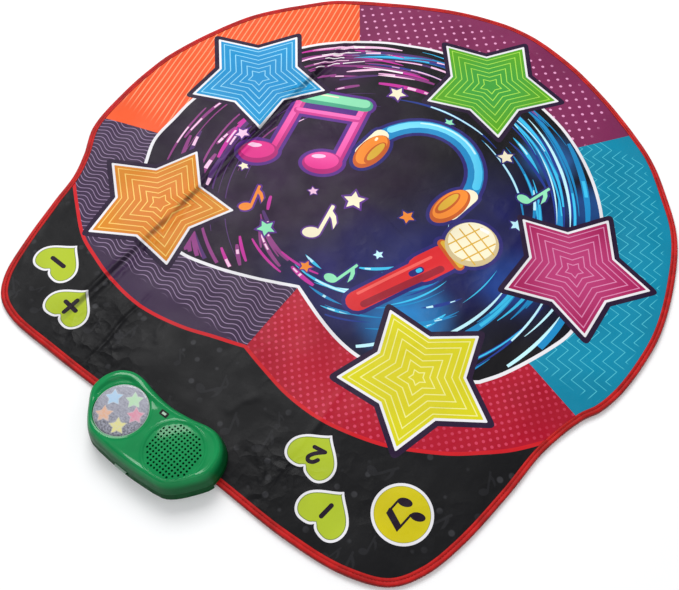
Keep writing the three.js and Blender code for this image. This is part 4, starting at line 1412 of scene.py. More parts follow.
HOT_PINK = PrintedCloth("hot_pink_ink", "E2318C", inner="F06AB4", centre=(-0.15, 0.1), reach=0.12)
MINT = PrintedCloth("mint_ink", "8FE3B4")
CYAN = PrintedCloth("cyan_ink", "38BDE8", inner="7FDCF4", centre=(0.0, 0.1), reach=0.14)
DEEP_CYAN = PrintedCloth("deep_cyan_ink", "1686C0")
ORANGE_INK = PrintedCloth("orange_ink", "F28A2C")
CREAM = PrintedCloth("cream_ink", "F2E9C8")
GOLD = PrintedCloth("gold_ink", "D8AA34")
SIGNAL_RED = PrintedCloth("red_ink", "D8262C")
DEEP_RED = PrintedCloth("deep_red_ink", "9A1A2C")
INDIGO = PrintedCloth("indigo_ink", "2B2470")
VIOLET = PrintedCloth("violet_ink", "5A2A86")
PALE_CYAN = PrintedCloth("pale_cyan_ink", "BFEFFA")
MAGENTA = PrintedCloth("magenta_ink", "C22C9A")
PALE_PINK = PrintedCloth("pale_pink_ink", "F4C4E2")
FAINT_NOTE = PrintedCloth("faint_note", "242427")
DIM_MAGENTA = PrintedCloth("dim_magenta_ink", "8E3A80")
DIM_VIOLET = PrintedCloth("dim_violet_ink", "54306E")
NAVY = PrintedCloth("navy_ink", "20388C")

DEEP_PINK = PrintedCloth("deep_pink_ink", "B01C72", inner="C83A8C", centre=(-0.15, 0.1), reach=0.12)
DEEP_MINT = PrintedCloth("deep_mint_ink", "4CA886")
DEEP_ORANGE = PrintedCloth("deep_orange_ink", "C45A1E")
DEEP_CREAM = PrintedCloth("deep_cream_ink", "CDB888")
PINK_RED = PrintedCloth("pink_red_ink", "EE6058")
PAPER = PrintedCloth("paper_white_ink", "F4F2F0")

BEAMED_NOTES = (
    (DEEP_PINK, Stroke((-46, -70), (-46, 66), 15)),
    (DEEP_PINK, Stroke((54, -52), (54, 84), 15)),
    (HOT_PINK, Stroke((-48.5, -70), (-48.5, 66), 9)),
    (HOT_PINK, Stroke((51.5, -52), (51.5, 84), 9)),
    (DEEP_PINK, Stroke((-44, 30), (52, 48), 13)),
    (HOT_PINK, Stroke((-44, 32.5), (52, 50.5), 7)),
    (DEEP_MINT, Stroke((-44, 62), (52, 80), 27)),
    (MINT, Stroke((-45, 65.5), (51, 83.5), 18)),
    (CREAM, Stroke((-30, 73), (6, 80), 3)),
    (DEEP_PINK, Blob((-66, -74), 62, 44, 22)),
    (DEEP_PINK, Blob((34, -56), 62, 44, 22)),
    (HOT_PINK, Blob((-68.5, -70.5), 53, 34, 22)),
    (HOT_PINK, Blob((31.5, -52.5), 53, 34, 22)),
    (PALE_PINK, Blob((-76, -64), 22, 8, 22)),
    (PALE_PINK, Blob((24, -46), 22, 8, 22)),
)


def strokes_along(line: Sequence[Point], width: float) -> list[Stroke]:
    """Strokes of one width from point to point of a line, in millimetres."""
    return [Stroke(a, b, width) for a, b in zip(line, line[1:])]


def bow(
    ink: PrintedCloth, radius: float, start: float, end: float, count: int, width: float
) -> list[tuple[PrintedCloth, Stroke]]:
    """Strokes of one ink along an arc round the origin, in millimetres."""
    return [(ink, stroke) for stroke in strokes_along(arc((0, 0), radius, start, end, count), width)]


HEADPHONES = (
    *bow(DEEP_CYAN, 84, 12, 168, 16, 24),
    *bow(CYAN, 88, 20, 160, 14, 12),
    *bow(PALE_CYAN, 91, 62, 128, 8, 3),
    (CREAM, Stroke((-86, 10), (-84, -34), 25)),
    (CREAM, Stroke((86, 10), (84, -34), 25)),
    (DEEP_ORANGE, Blob((-76, -24), 40, 78, 4)),
    (DEEP_ORANGE, Blob((76, -24), 40, 78, -4)),
    (ORANGE_INK, Blob((-78, -21), 33, 69, 4)),
    (ORANGE_INK, Blob((74, -21), 33, 69, -4)),
    (DEEP_ORANGE, Blob((-70, -22), 19, 52, 4)),
    (DEEP_ORANGE, Blob((70, -22), 19, 52, -4)),
    (GOLD, Blob((-70.5, -20), 13, 43, 4)),
    (GOLD, Blob((69.5, -20), 13, 43, -4)),
    (CREAM, Stroke((-86, -2), (-87, 2), 4)),
)
MICROPHONE = (
    (SIGNAL_RED, Stroke((0, -118), (0, 20), 36)),
    (SIGNAL_RED, Stroke((0, 0), (0, 40), 48)),
    (DEEP_RED, Stroke((10, -112), (14, 24), 12)),
    (PINK_RED, Stroke((-11, -110), (-11, 22), 5)),
    (DEEP_ORANGE, Stroke((-24, 52), (24, 52), 16)),
    (GOLD, Stroke((-24, 54), (24, 54), 9)),
    (DEEP_CREAM, Blob((0, 92), 84, 86)),
    (CREAM, Blob((-4, 95), 74, 76)),
    *((GOLD, Stroke((-34, 92 + k), (34, 92 + k), 2.4)) for k in (-18, 0, 18)),
    *((GOLD, Stroke((k, 60), (k, 124), 2.4)) for k in (-18, 0, 18)),
    (PAPER, Stroke((-16, 122), (-6, 127), 6)),
    (INDIGO, Stroke((0, -20), (0, -4), 11)),
    (CYAN, Stroke((0, -9), (0, -5), 7)),
)
QUAVER = (
    (CREAM, Stroke((8, -16), (8, 26), 4.6)),
    (CREAM, Cut(((5.8, 29), (5.8, 16), (14, 9), (22, -4), (22, 6), (17, 15), (9.6, 21)))),
    (CREAM, Blob((0, -18), 21, 15, 22)),
)


def quaver_in(ink: PrintedCloth) -> tuple[tuple[PrintedCloth, object], ...]:
    """The quaver in one ink."""
    return tuple((ink, shape) for _, shape in QUAVER)


FIGURES = (
    Figure((-150, 62), 14, 1.0, BEAMED_NOTES, VIOLET, 6),
    Figure((24, 96), -6, 1.02, HEADPHONES, INDIGO, 6),
    Figure((126, -54), -24, 0.92, MICROPHONE, INDIGO, 6),
    Figure((-44, -76), 12, 1.25, QUAVER, VIOLET, 2.6),
    Figure((34, -128), -14, 0.95, quaver_in(MINT), INDIGO, 3),
    Figure((-150, -104), 20, 0.95, quaver_in(ORANGE_INK), VIOLET, 3),
    Figure((186, 158), -18, 1.0, quaver_in(MINT), INDIGO, 3),
)
LOOSE_STARS = (
    (-92, 206, 15, 20, CREAM), (-22, -14, 17, 45, CREAM), (58, 8, 12, 80, ORANGE_INK),
    (-96, -132, 14, 10, MINT), (118, 196, 13, 60, CREAM), (-10, -150, 10, 30, ORANGE_INK),
    (-238, -12, 12, 15, PALE_PINK), (62, -72, 8, 0, PALE_CYAN), (196, 92, 11, 33, PALE_CYAN),
    (-82, -36, 8, 60, PALE_PINK), (-196, -60, 9, 0, CREAM), (10, 202, 9, 12, MINT),
)


@dataclass(frozen=True)
class Spray:
    """A group of light streaks: how many, where, how long and in which inks."""

    count: int
    turn: Point
    reach: Point
    span: Point
    width: Point
    inks: tuple[PrintedCloth, ...]
    bright: PrintedCloth
    drift: float = 13.0
    taper: float = 0.6
    flashes: int = 4
    flash_length: int = 5


STREAK_STOPS = 25
SPRAYS = (
    Spray(26, (92, 236), (216, 328), (9, 30), (3.5, 8.5),
          (DIM_MAGENTA, MAGENTA, DIM_VIOLET, DIM_MAGENTA), PALE_PINK, taper=0.25, flashes=2),
    Spray(7, (90, 190), (176, 300), (55, 95), (1.6, 3.4), (DIM_MAGENTA, DIM_VIOLET), PALE_PINK, flashes=1),
    Spray(15, (196, 262), (150, 246), (9, 30), (3.0, 7.0),
          (DIM_MAGENTA, DIM_VIOLET, MAGENTA), PALE_PINK, taper=0.25, flashes=2),
    Spray(20, (-66, 70), (238, 332), (34, 80), (4, 10),
          (NAVY, DEEP_CYAN, NAVY, DEEP_CYAN), CYAN, 24, 1.0, 2, 14),
    Spray(26, (-70, 78), (224, 332), (14, 54), (2.2, 7),
          (CYAN, DEEP_CYAN, PALE_CYAN, NAVY), PALE_CYAN, 20, 0.8, 3, 9),
    Spray(20, (-104, -6), (112, 220), (12, 48), (1.6, 5.5),
          (DEEP_CYAN, CYAN, NAVY), PALE_CYAN, 16, 1.0, 2, 8),
    Spray(12, (94, 126), (262, 330), (12, 34), (2.5, 6),
          (MAGENTA, DIM_MAGENTA, PALE_PINK), PAPER, taper=0.5, flashes=3),
    Spray(12, (58, 128), (256, 330), (10, 36), (2, 6),
          (MAGENTA, DIM_VIOLET, NAVY, DIM_MAGENTA), PALE_PINK),
)


def light_streaks(disc: Outline) -> list[tuple[Outline, bpy.types.Material]]:
    """Arcs of light round the figures, pink on the left and blue on the right.

    Args:
        disc: Outline that they stay inside.

    Returns:
        Placed outlines with their materials.
    """
    draws = np.random.default_rng(SEED + 4)
    made = []
    for spray in SPRAYS:
        for _ in range(spray.count):
            at = (draws.uniform(*spray.turn), draws.uniform(*spray.reach))
            made += one_streak(draws, spray, at, disc)
    return made


def one_streak(
    draws: np.random.Generator, spray: Spray, at: Point, disc: Outline
) -> list[tuple[Outline, bpy.types.Material]]:
    """One tapering arc of light, with bright stretches in it.

    Args:
        draws: Source of its chances.
        spray: The group that it belongs to.
        at: Angle in degrees where it starts and its radius in millimetres.
        disc: Outline that it stays inside.

    Returns:
        Placed outlines with their materials.
    """
    span, drift = draws.uniform(*spray.span), draws.uniform(-spray.drift, spray.drift)
    taper = np.sin(np.linspace(0.1, math.pi - 0.1, STREAK_STOPS)) ** spray.taper
    width = draws.uniform(*spray.width) * taper * MM
    path = np.array(arc((0, 0), at[1] * MM, at[0], at[0] + span, STREAK_STOPS - 1, drift * MM))
    pieces = [(0, STREAK_STOPS, 1.0, paintbox.get(spray.inks[int(draws.integers(len(spray.inks)))]))]
    for _ in range(int(draws.integers(0, spray.flashes + 1))):
        first = int(draws.integers(2, 18))
        last = first + int(draws.integers(3, 4 + spray.flash_length))
        pieces.append((first, last, draws.uniform(0.4, 0.9), paintbox.get(spray.bright)))
    kept = inset_of(path, disc) > 7 * MM
    kept &= np.linalg.norm(path, axis=1) < disc_reach(path, disc)
    made = []
    for first, last, share, material in pieces:
        run = [k for k in range(first, min(last, STREAK_STOPS)) if kept[k]]
        if len(run) > 2 and run[-1] - run[0] == len(run) - 1:
            made.append((band(path[run], width[run] * share), material))
    return made


def disc_reach(places: np.ndarray, disc: Outline) -> np.ndarray:
    """How far an outline round the origin reaches in the direction of each place.

    Args:
        places: Places as rows of x and y.
        disc: The outline.

    Returns:
        One reach for each place.
    """
    rim = np.array(disc)
    turn = np.arctan2(rim[:, 1], rim[:, 0])
    order = np.argsort(turn)
    angles = np.arctan2(places[:, 1], places[:, 0])
    return np.interp(angles, turn[order], np.linalg.norm(rim, axis=1)[order], period=2 * math.pi)


@dataclass(frozen=True)
class StarSpot:
    """Where a star key lies, and its colours."""

    name: str
    at: Point
    turn: float
    reach: float
    colour: str
    inner: str
    line: str
    slot: str

    def outline(self, margin: float = 0.0, corner: float = 3.0) -> Outline:
        """The star drawn in by a margin in millimetres, its tips rounded."""
        tip = (self.reach - margin / SIDE_SHARE) * MM
        return rounded(star(metres(self.at), tip, tip * NOTCH_SHARE, self.turn), corner * MM)


NOTCH_SHARE = 69 / 115.5
SIDE_SHARE = 64.9 / 115.5
STAR_LINE_MARGINS = (8.4, 17.6, 26.6, 35.8, 44.8, 53.2)
STARS = (
    StarSpot("green_star", (21.4, 313.6), 90.5, 114, "5CA81E", "3F9A38", "A8E050", "print_green"),
    StarSpot("blue_star", (-294.9, 99.3), 93.4, 113.9, "1590C8", "1888C2", "92D6F2", "print_blue"),
    StarSpot("pink_star", (300.6, 72.9), 89.7, 109.5, "A81C58", "B63A72", "DC86B0", "print_pink"),
    StarSpot("yellow_star", (213, -201), 71.9, 107.8, "D6D012", "D2C820", "EEEA8E", "print_yellow"),
    StarSpot("orange_star", (-250.1, -190.1), 101.2, 111.8, "D6861A", "D47C2C", "F6CC6C", "print_orange"),
)


@dataclass(frozen=True)
class HeartSpot:
    """Where a heart key lies, and its symbol's strokes."""

    name: str
    tip: Point
    turn: float
    symbol: tuple[object, ...]

    def outline(self, margin: float = 0.0) -> Outline:
        """The heart, drawn in by a margin in millimetres."""
        return placed(inward(heart(72 * MM, 61.5 * MM, 12), margin * MM), metres(self.tip), self.turn)


TWO = smooth((
    (176.1, -356), (169.6, -361.7), (164.9, -367), (162.4, -373), (165.2, -376.8), (171, -375.2),
    (174.8, -369.4),
), 4, False)
HEARTS = (
    HeartSpot("minus_heart", (-292.4, -317), -3.5, (Stroke((-305.7, -352.3), (-283.2, -353.4), 6.6),)),
    HeartSpot("plus_heart", (-227.2, -360.6), -3.8, (
        Stroke((-239.5, -392.2), (-218, -394.9), 6.4), Stroke((-227.7, -382), (-229.4, -405.4), 6.4))),
    HeartSpot("two_heart", (170.2, -332.6), -5.3, (
        Stroke((161.2, -358), (176.1, -356), 5.4), *strokes_along(TWO, 5.4))),
    HeartSpot("one_heart", (224.6, -382.2), -6.5, (Stroke((222, -405.2), (219.8, -423.1), 5.8),)),
)
NOTE_AT = (296.8, -363.2)
NOTE_RADIUS = 38.5
NOTE_SHAPES = (
    Blob((291.6, -349.3), 18.6, 11, 20), Blob((313.9, -355), 18.6, 11, 22),
    Stroke((283.8, -351), (281.6, -370), 2.8), Stroke((305.6, -358), (303, -379), 2.8),
    Cut(((279.8, -365.8), (280.2, -373.6), (303.4, -385), (304.4, -376), (283.4, -365.2))),
)
KEY_CLOTH = PrintedCloth("key_border", "E9E7EB")
SYMBOL_INK = PrintedCloth("symbol_ink", "241528")
FAINT_NOTE_DRAWS = 150
FAINT_NOTE_SHARE = 0.55
FAINT_NOTE_SPANS = ((-410, 410), (-462, -190), (-60, 60), (0.4, 0.75))


def note_circle(radius: float = NOTE_RADIUS) -> Outline:
    """A circle round the middle of the note key, its radius in millimetres."""
    return circle(metres(NOTE_AT), radius * MM, 64)


class PrintedSheet:
    """The printed face of the mat, cut out round its ten keys."""

    def build(self) -> bpy.types.Object:
        """Returns:
            The sheet.
        """
        outline = inward(mat_outline(5 * MM), SHEET_INSET)
        panel = Panel("printed_sheet", outline, paintbox.get(APRON), sheet_height, 1.6 * MM, 6 * MM)
        panel.patches = self.patches()
        panel.holes = [*(spot.outline() for spot in (*STARS, *HEARTS)), note_circle()]
        panel.extra = self.crease_rows()
        made = panel.build()
        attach(made, ROOT_BODY)
        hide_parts("top_sheet")
        log.info("printed sheet: %d faces", len(made.data.polygons))
        return made

    def crease_rows(self) -> list[Point]:
        """Close rows of points along the folds.

        Returns:
            Places across and along each fold.
        """
        made = []
        for crease in CREASES:
            start, end = np.array(crease.start), np.array(crease.end)
            length = np.linalg.norm(end - start)
            side = np.array([-(end - start)[1], (end - start)[0]]) / length
            for share in np.arange(0, length, 5 * MM) / length:
                middle = start + (end - start) * share + side * wander(share, length)
                made += [tuple(middle + side * k * crease.width * 0.45) for k in range(-4, 5)]
        return made

    def patches(self) -> list[tuple[Outline, bpy.types.Material]]:
        """Everything printed on the sheet, from the lowest layer up.

        Returns:
            Outlines with their materials.
        """
        made = [(placed(in_metres(corners), PRINT_SHIFT), paintbox.get(finish)) for finish, corners in FIELDS]
        outer = placed(run_through(OUTER_LINE_LEFT, OUTER_LINE_RIGHT), PRINT_SHIFT)
        apron = [*outer, (0.56, -0.118), (0.56, -0.6), (-0.56, -0.6), (-0.56, -0.191)]
        disc = placed(run_through(INNER_BACK, INNER_LEFT, INNER_RIGHT)[:-1], PRINT_SHIFT)
        made.append((apron, paintbox.get(APRON)))
        made += self.faint_notes()
        made.append((inward(disc, -2.5 * MM), paintbox.get(WHITE_LINE)))
        made.append((inward(disc, 2.5 * MM), paintbox.get(STAGE_DISC)))
        made.append((band(outer, 5 * MM), paintbox.get(RED_LINE)))
        made += light_streaks(disc)
        for x, y, size, turn, ink in LOOSE_STARS:
            made.append((rounded(star((x * MM, y * MM), size * 1.35 * MM, size * 0.75 * MM, turn), 2 * MM),
                         paintbox.get(VIOLET if x < 0 else INDIGO)))
            made.append((star((x * MM, y * MM), size * MM, size * 0.5 * MM, turn), paintbox.get(ink)))
        for figure in FIGURES:
            made += figure.patches()
        made += [(spot.outline(-7.2, 11), paintbox.get(STAR_SHADOW)) for spot in STARS]
        return made

    def faint_notes(self) -> list[tuple[Outline, bpy.types.Material]]:
        """Notes that hardly show, strewn over the apron.

        Returns:
            Outlines with their material.
        """
        draws = np.random.default_rng(SEED + 6)
        edge_x, edge_y = np.array([*OUTER_LINE_LEFT, *OUTER_LINE_RIGHT[1:]]).T
        made = []
        for _ in range(FAINT_NOTE_DRAWS):
            x, y, turn, size = (draws.uniform(*span) for span in FAINT_NOTE_SPANS)
            if y > np.interp(x, edge_x, edge_y) - 22 or draws.uniform() > FAINT_NOTE_SHARE:
                continue
            made += Figure((x, y), turn, size, quaver_in(FAINT_NOTE), FAINT_NOTE, 0.01).patches()
        return made


@dataclass
class Keys:
    """The ten keys in the sheet's cut-outs."""

    gap: float = 0.25 * MM
    edge: float = 0.44 * MM

    def build(self) -> None:
        """Makes every key and puts it on its body."""
        for spot in STARS:
            self.star_key(spot)
        for spot in HEARTS:
            self.heart_key(spot)
        self.note_key()
        log.info("ten keys")

    def key(
        self,
        name: str,
        outline: Outline,
        patches: list[tuple[Outline, bpy.types.Material]],
    ) -> None:
        """Makes one key.

        Args:
            name: Name of the key and its body.
            outline: The cut-out that it lies in.
            patches: What is printed on it.
        """
        cut = inward(outline, self.gap)
        panel = Panel(f"{name}_key", cut, paintbox.get(KEY_CLOTH), sheet_height, self.edge, 5 * MM, patches)
        made = panel.build()
        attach(made, name)
        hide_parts(f"{name}_pad")

    def star_key(self, spot: StarSpot) -> None:
        """One star key with its inner stars.

        Args:
            spot: The star.
        """
        fill = paintbox.get(PrintedCloth(
            f"{spot.name}_fill", spot.colour, inner=spot.inner, centre=metres(spot.at), reach=0.1))
        line = paintbox.get(PrintedCloth(f"{spot.name}_line", spot.line))
        patches = [(spot.outline(3.9, 1.5), fill)]
        for margin in STAR_LINE_MARGINS:
            patches += [(spot.outline(margin, 0.5), line), (spot.outline(margin + 1.5, 0.3), fill)]
        self.key(spot.name, spot.outline(), patches)

    def heart_key(self, spot: HeartSpot) -> None:
        """One heart key with its symbol.

        Args:
            spot: The heart.
        """
        fill = paintbox.get(PrintedCloth("heart_fill", "AFC22C"))
        ink = paintbox.get(SYMBOL_INK)
        edge = paintbox.get(PrintedCloth("heart_edge", "7C8C3C"))
        patches = [(spot.outline(3.4), edge), (spot.outline(4.5), fill)]
        patches += [(in_metres(shape.outline()), ink) for shape in spot.symbol]
        self.key(spot.name, spot.outline(), patches)

    def note_key(self) -> None:
        """The round note key."""
        fill = paintbox.get(PrintedCloth("note_fill", "D2C412"))
        edge = paintbox.get(PrintedCloth("note_edge", "9C9A3C"))
        patches = [(note_circle(NOTE_RADIUS - 3.8), edge), (note_circle(NOTE_RADIUS - 4.6), fill)]
        patches += [(in_metres(shape.outline()), paintbox.get(SYMBOL_INK)) for shape in NOTE_SHAPES]
        self.key("note", note_circle(), patches)


# Edging and backing

@dataclass
class EdgeBinding:
    """Tape folded round the mat's rim, stitched near its inner lip."""

    width: float = 10 * MM
    spacing: float = 3.6 * MM

    def build(self) -> bpy.types.Object:
        """Makes the tape and its stitches.

        Returns:
            The tape.
        """
        rim = mat_outline(self.spacing)
        draws = np.random.default_rng(SEED + 1)
        count = len(rim)
        sway = smooth_noise(draws, count, 60) * 0.5 * MM
        pucker = smooth_noise(draws, count, 4) * 0.22 * MM + smooth_noise(draws, count, 30) * 0.25 * MM
        lift = LIE.lift(np.array(inward(rim, self.width))) + pucker
        rings = []
        for inset, height, share in self.profile():
            ring = at_height(inward(rim, inset + sway * share), height)
            if height > 3 * MM:
                ring[:, 2] += lift * share
            rings.append(ring)
        points, faces = loft(rings)
        # Painted shade: the upper lip, the stitch groove and the outer lower side get a darker red.
        kinds = [int(row in (0, 5) or row > 10) for row in range(len(rings) - 1) for _ in range(count)]
        made = make_piece("edge_tape", points, [f[::-1] for f in faces], [
            paintbox.get(BindingTape("binding_tape", "C61210", "A40B0A")),
            paintbox.get(BindingTape("binding_painted_shade", "8E0B0B", "720808")),
        ], kinds)
        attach(made, ROOT_BODY)
        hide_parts("edge_binding")
        self.stitches(rim)
        log.info("edge binding: %d stations", count)
        return made

    def profile(self) -> list[tuple[float, float, float]]:
        """The tape's cross-section, from the upper lip round to the lower.

        Returns:
            Inset from the rim, height and how much the lie moves it.
        """
        stations = (
            (10, 6.05, 1), (9.85, 6.5, 1), (9.2, 6.85, 1), (8.2, 6.95, 1), (7.2, 6.75, 1), (6.5, 6.4, 1),
            (6.0, 6.35, 1), (5.5, 6.45, 1), (4.7, 6.9, 0.95), (3.6, 7.25, 0.9), (2.5, 7.1, 0.7),
            (1.4, 6.45, 0.5), (0.6, 5.5, 0.3), (0.12, 4.4, 0.15), (0.0, 3.3, 0.1),
            (0.1, 2.2, 0), (0.5, 1.1, 0), (1.3, 0.35, 0), (2.6, 0.05, 0), (5, 0.0, 0), (8, 0.0, 0),
            (10, 0.1, 0),
        )
        return [(inset * MM, z * MM, share) for inset, z, share in stations]

    def stitches(self, rim: Outline) -> None:
        """A row of thread stitches in the groove.

        Args:
            rim: The mat's rim.
        """
        line = np.array(even(inward(rim, 6 * MM), 4.4 * MM))
        ahead = np.roll(line, -1, axis=0) - line
        ahead /= np.linalg.norm(ahead, axis=1)[:, None]
        side = np.column_stack([-ahead[:, 1], ahead[:, 0]])
        turn = np.arange(6) * math.pi / 3
        points, faces = [], []
        for middle, z, along, across in zip(line, 6.3 * MM + LIE.lift(line), ahead, side):
            rings = []
            for reach, thick in in_metres(((-1.5, 0.1), (-0.8, 0.42), (0.8, 0.42), (1.5, 0.1))):
                flat = middle + along * reach + np.outer(thick * np.cos(turn), across)
                rings.append(np.column_stack([flat, z + thick * np.sin(turn)]))
            first = len(points)
            stitch, skin = loft(rings, first)
            points += stitch
            faces += [*skin, [first + 5 - k for k in range(6)], [first + 18 + k for k in range(6)]]
        thread = paintbox.get(BindingTape("stitch_thread", "A01010", "7E0B0C"))
        made = make_piece("edge_stitches", points, [f[::-1] for f in faces], [thread])
        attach(made, ROOT_BODY)


def smooth_noise(draws: np.random.Generator, count: int, span: int) -> np.ndarray:
    """Noise round a loop that changes over a span of stations.

    Args:
        draws: Source of its chances.
        count: Number of stations.
        span: Stations between two changes.

    Returns:
        A value from -1 to 1 for each station.
    """
    knots = max(4, count // span)
    values = draws.uniform(-1, 1, knots)
    place = np.arange(count) * knots / count
    low = place.astype(int) % knots
    share = place % 1
    share = share * share * (3 - 2 * share)
    return values[low] * (1 - share) + values[(low + 1) % knots] * share


class Backing:
    """The anti-slip cloth under the mat."""

    def build(self) -> bpy.types.Object:
        """Returns:
            The backing.
        """
        outline = inward(mat_outline(6 * MM), SHEET_INSET)
        finish = paintbox.get(NonSlipBacking("anti_slip_backing", "2A2A2E", "4A4A50"))
        panel = Panel("anti_slip_backing", outline, finish, backing_height, 0.5 * MM, 12 * MM)
        panel.face_down = True
        made = panel.build()
        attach(made, ROOT_BODY)
        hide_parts("base_sheet")
        log.info("backing")
        return made


def backing_height(flat: np.ndarray) -> np.ndarray:
    """Height of the backing's lower face, a little off the floor here and there."""
    return 0.3 * MM + 0.12 * np.clip(LIE.lift(flat), 0, 2 * MM)


@dataclass(frozen=True)
class InnerLayer:
    """A layer held inside the binding: a contact film or the foam between them."""

    name: str
    node: str
    base: float
    top: float
    finish: MouldedPlastic
    slot: str
    below: str

    def build(self) -> bpy.types.Object:
        """Returns:
            The layer.
        """
        outline = inward(mat_outline(6 * MM), LAYER_INSET)
        thickness = self.top - self.base
        panel = Panel(self.name, outline, paintbox.get(self.finish), self.height, thickness, 16 * MM)
        panel.holes = loops_at(self.node, self.top)[1:]
        made = panel.build()
        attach(made, ROOT_BODY)
        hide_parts(self.node)
        log.info("%s: %d openings", self.name, len(panel.holes))
        return made

    def height(self, flat: np.ndarray) -> np.ndarray:
        """Height of the layer's upper face."""
        return np.full(len(flat), self.top)


FILM = MouldedPlastic("contact_film", "C8CCC8", "E8E8E8", 0.3)
FOAM = MouldedPlastic("foam_layer", "46464A", "66666A", 0.9, 0.3 * MM)
INNER_LAYERS = (
    InnerLayer("lower_film_layer", "lower_contact_film", 1.2 * MM, 1.5 * MM,
               FILM, "contact_film", "anti_slip_backing"),
    InnerLayer("foam_layer", "spacer_foam", 1.5 * MM, 3.1 * MM, FOAM, "spacer_foam", "lower_film_layer"),
    InnerLayer("upper_film_layer", "upper_contact_film", 3.1 * MM, 3.4 * MM,
               FILM, "contact_film", "foam_layer"),
)


# Sound unit

UNIT_SHARES = (
    (0, -1), (0.296, -0.976), (0.571, -0.915), (0.67, -0.82), (0.768, -0.649), (0.867, -0.422),
    (0.966, -0.156), (0.997, 0.01), (1, 0.223), (0.966, 0.512), (0.867, 0.796), (0.7, 0.976), (0.542, 1),
    (0.3, 0.91), (0, 0.853),
)
WINDOW_AT = (-52.457 * MM, -470.4885 * MM)
DOME_AT = (35.442 * MM, -472.018 * MM)
INDICATOR_AT = (-5.97 * MM, -443.006 * MM)
PLATE_TOP = 39.3 * MM
CREST_INSET = 10.6 * MM
CREST_RISE = 0.75 * MM
DOME_REACH = 36 * MM
WINDOW_REACH = 35.4 * MM
FRAME_TOP = 39.75 * MM
DOME_ROWS = (35.9, 36.3, 36.8, 37.4, 38.1, 38.9, 39.7, 40.5)
WINDOW_ROWS = (35.9, 36.6, 37.3, 38.0, 38.8, 39.6, 40.6, 41.6, 42.6, 43.6, 44.6)
CREST_ROWS = (0.7, 1.4, 2.2, 3.0, 3.8, 4.8)
WINDOW_RING = 37.9 * MM
DOME_LIP = 39 * MM
DOME_TOP = 40.2 * MM
BACK_LEFT = (-0.6, 0.8)
FRONT_LEFT = (-0.5, -0.866)
DISH_WAY = (-0.55, 0.835)
# The wall colour is painted shade: a darker green that the shell's sides take lower down.
MOULDED_GREEN = MouldedPlastic(
    "moulded_green", "158C4E", "2C9A5C", 0.34, wall="075028", shine=0.08, coat=0.5)
# Painted shade: the lower shell and battery door take a darker copy of the shell's green.
SHADED_UNDERSIDE_GREEN = MouldedPlastic("moulded_green_lower_shaded", "054620", "14703A", 0.5, shine=0.06)


def unit_outline() -> Outline:
    """The sound unit's outline on the floor.

    Returns:
        Anticlockwise outline.
    """
    right = [(x * UNIT_HALF[0] + UNIT_AT[0], y * UNIT_HALF[1] + UNIT_AT[1]) for x, y in UNIT_SHARES]
    left = [(2 * UNIT_AT[0] - x, y) for x, y in right[-2:0:-1]]
    return even(smooth([*right, *left], 14), 1.6 * MM)


def inset_of(flat: np.ndarray, outline: Outline) -> np.ndarray:
    """Distance of places from an outline.

    Args:
        flat: Places as rows of x and y.
        outline: The outline.

    Returns:
        One distance for each place.
    """
    start = np.array(outline)
    along = np.roll(start, -1, axis=0) - start
    span = flat[:, None, :] - start[None]
    share = np.clip((span * along).sum(2) / (along ** 2).sum(1), 0, 1)
    return np.linalg.norm(span - share[..., None] * along, axis=2).min(1)


def from_centre(flat: np.ndarray, at: Point) -> np.ndarray:
    """Distance of places from a centre."""
    return np.linalg.norm(flat - np.array(at), axis=1)


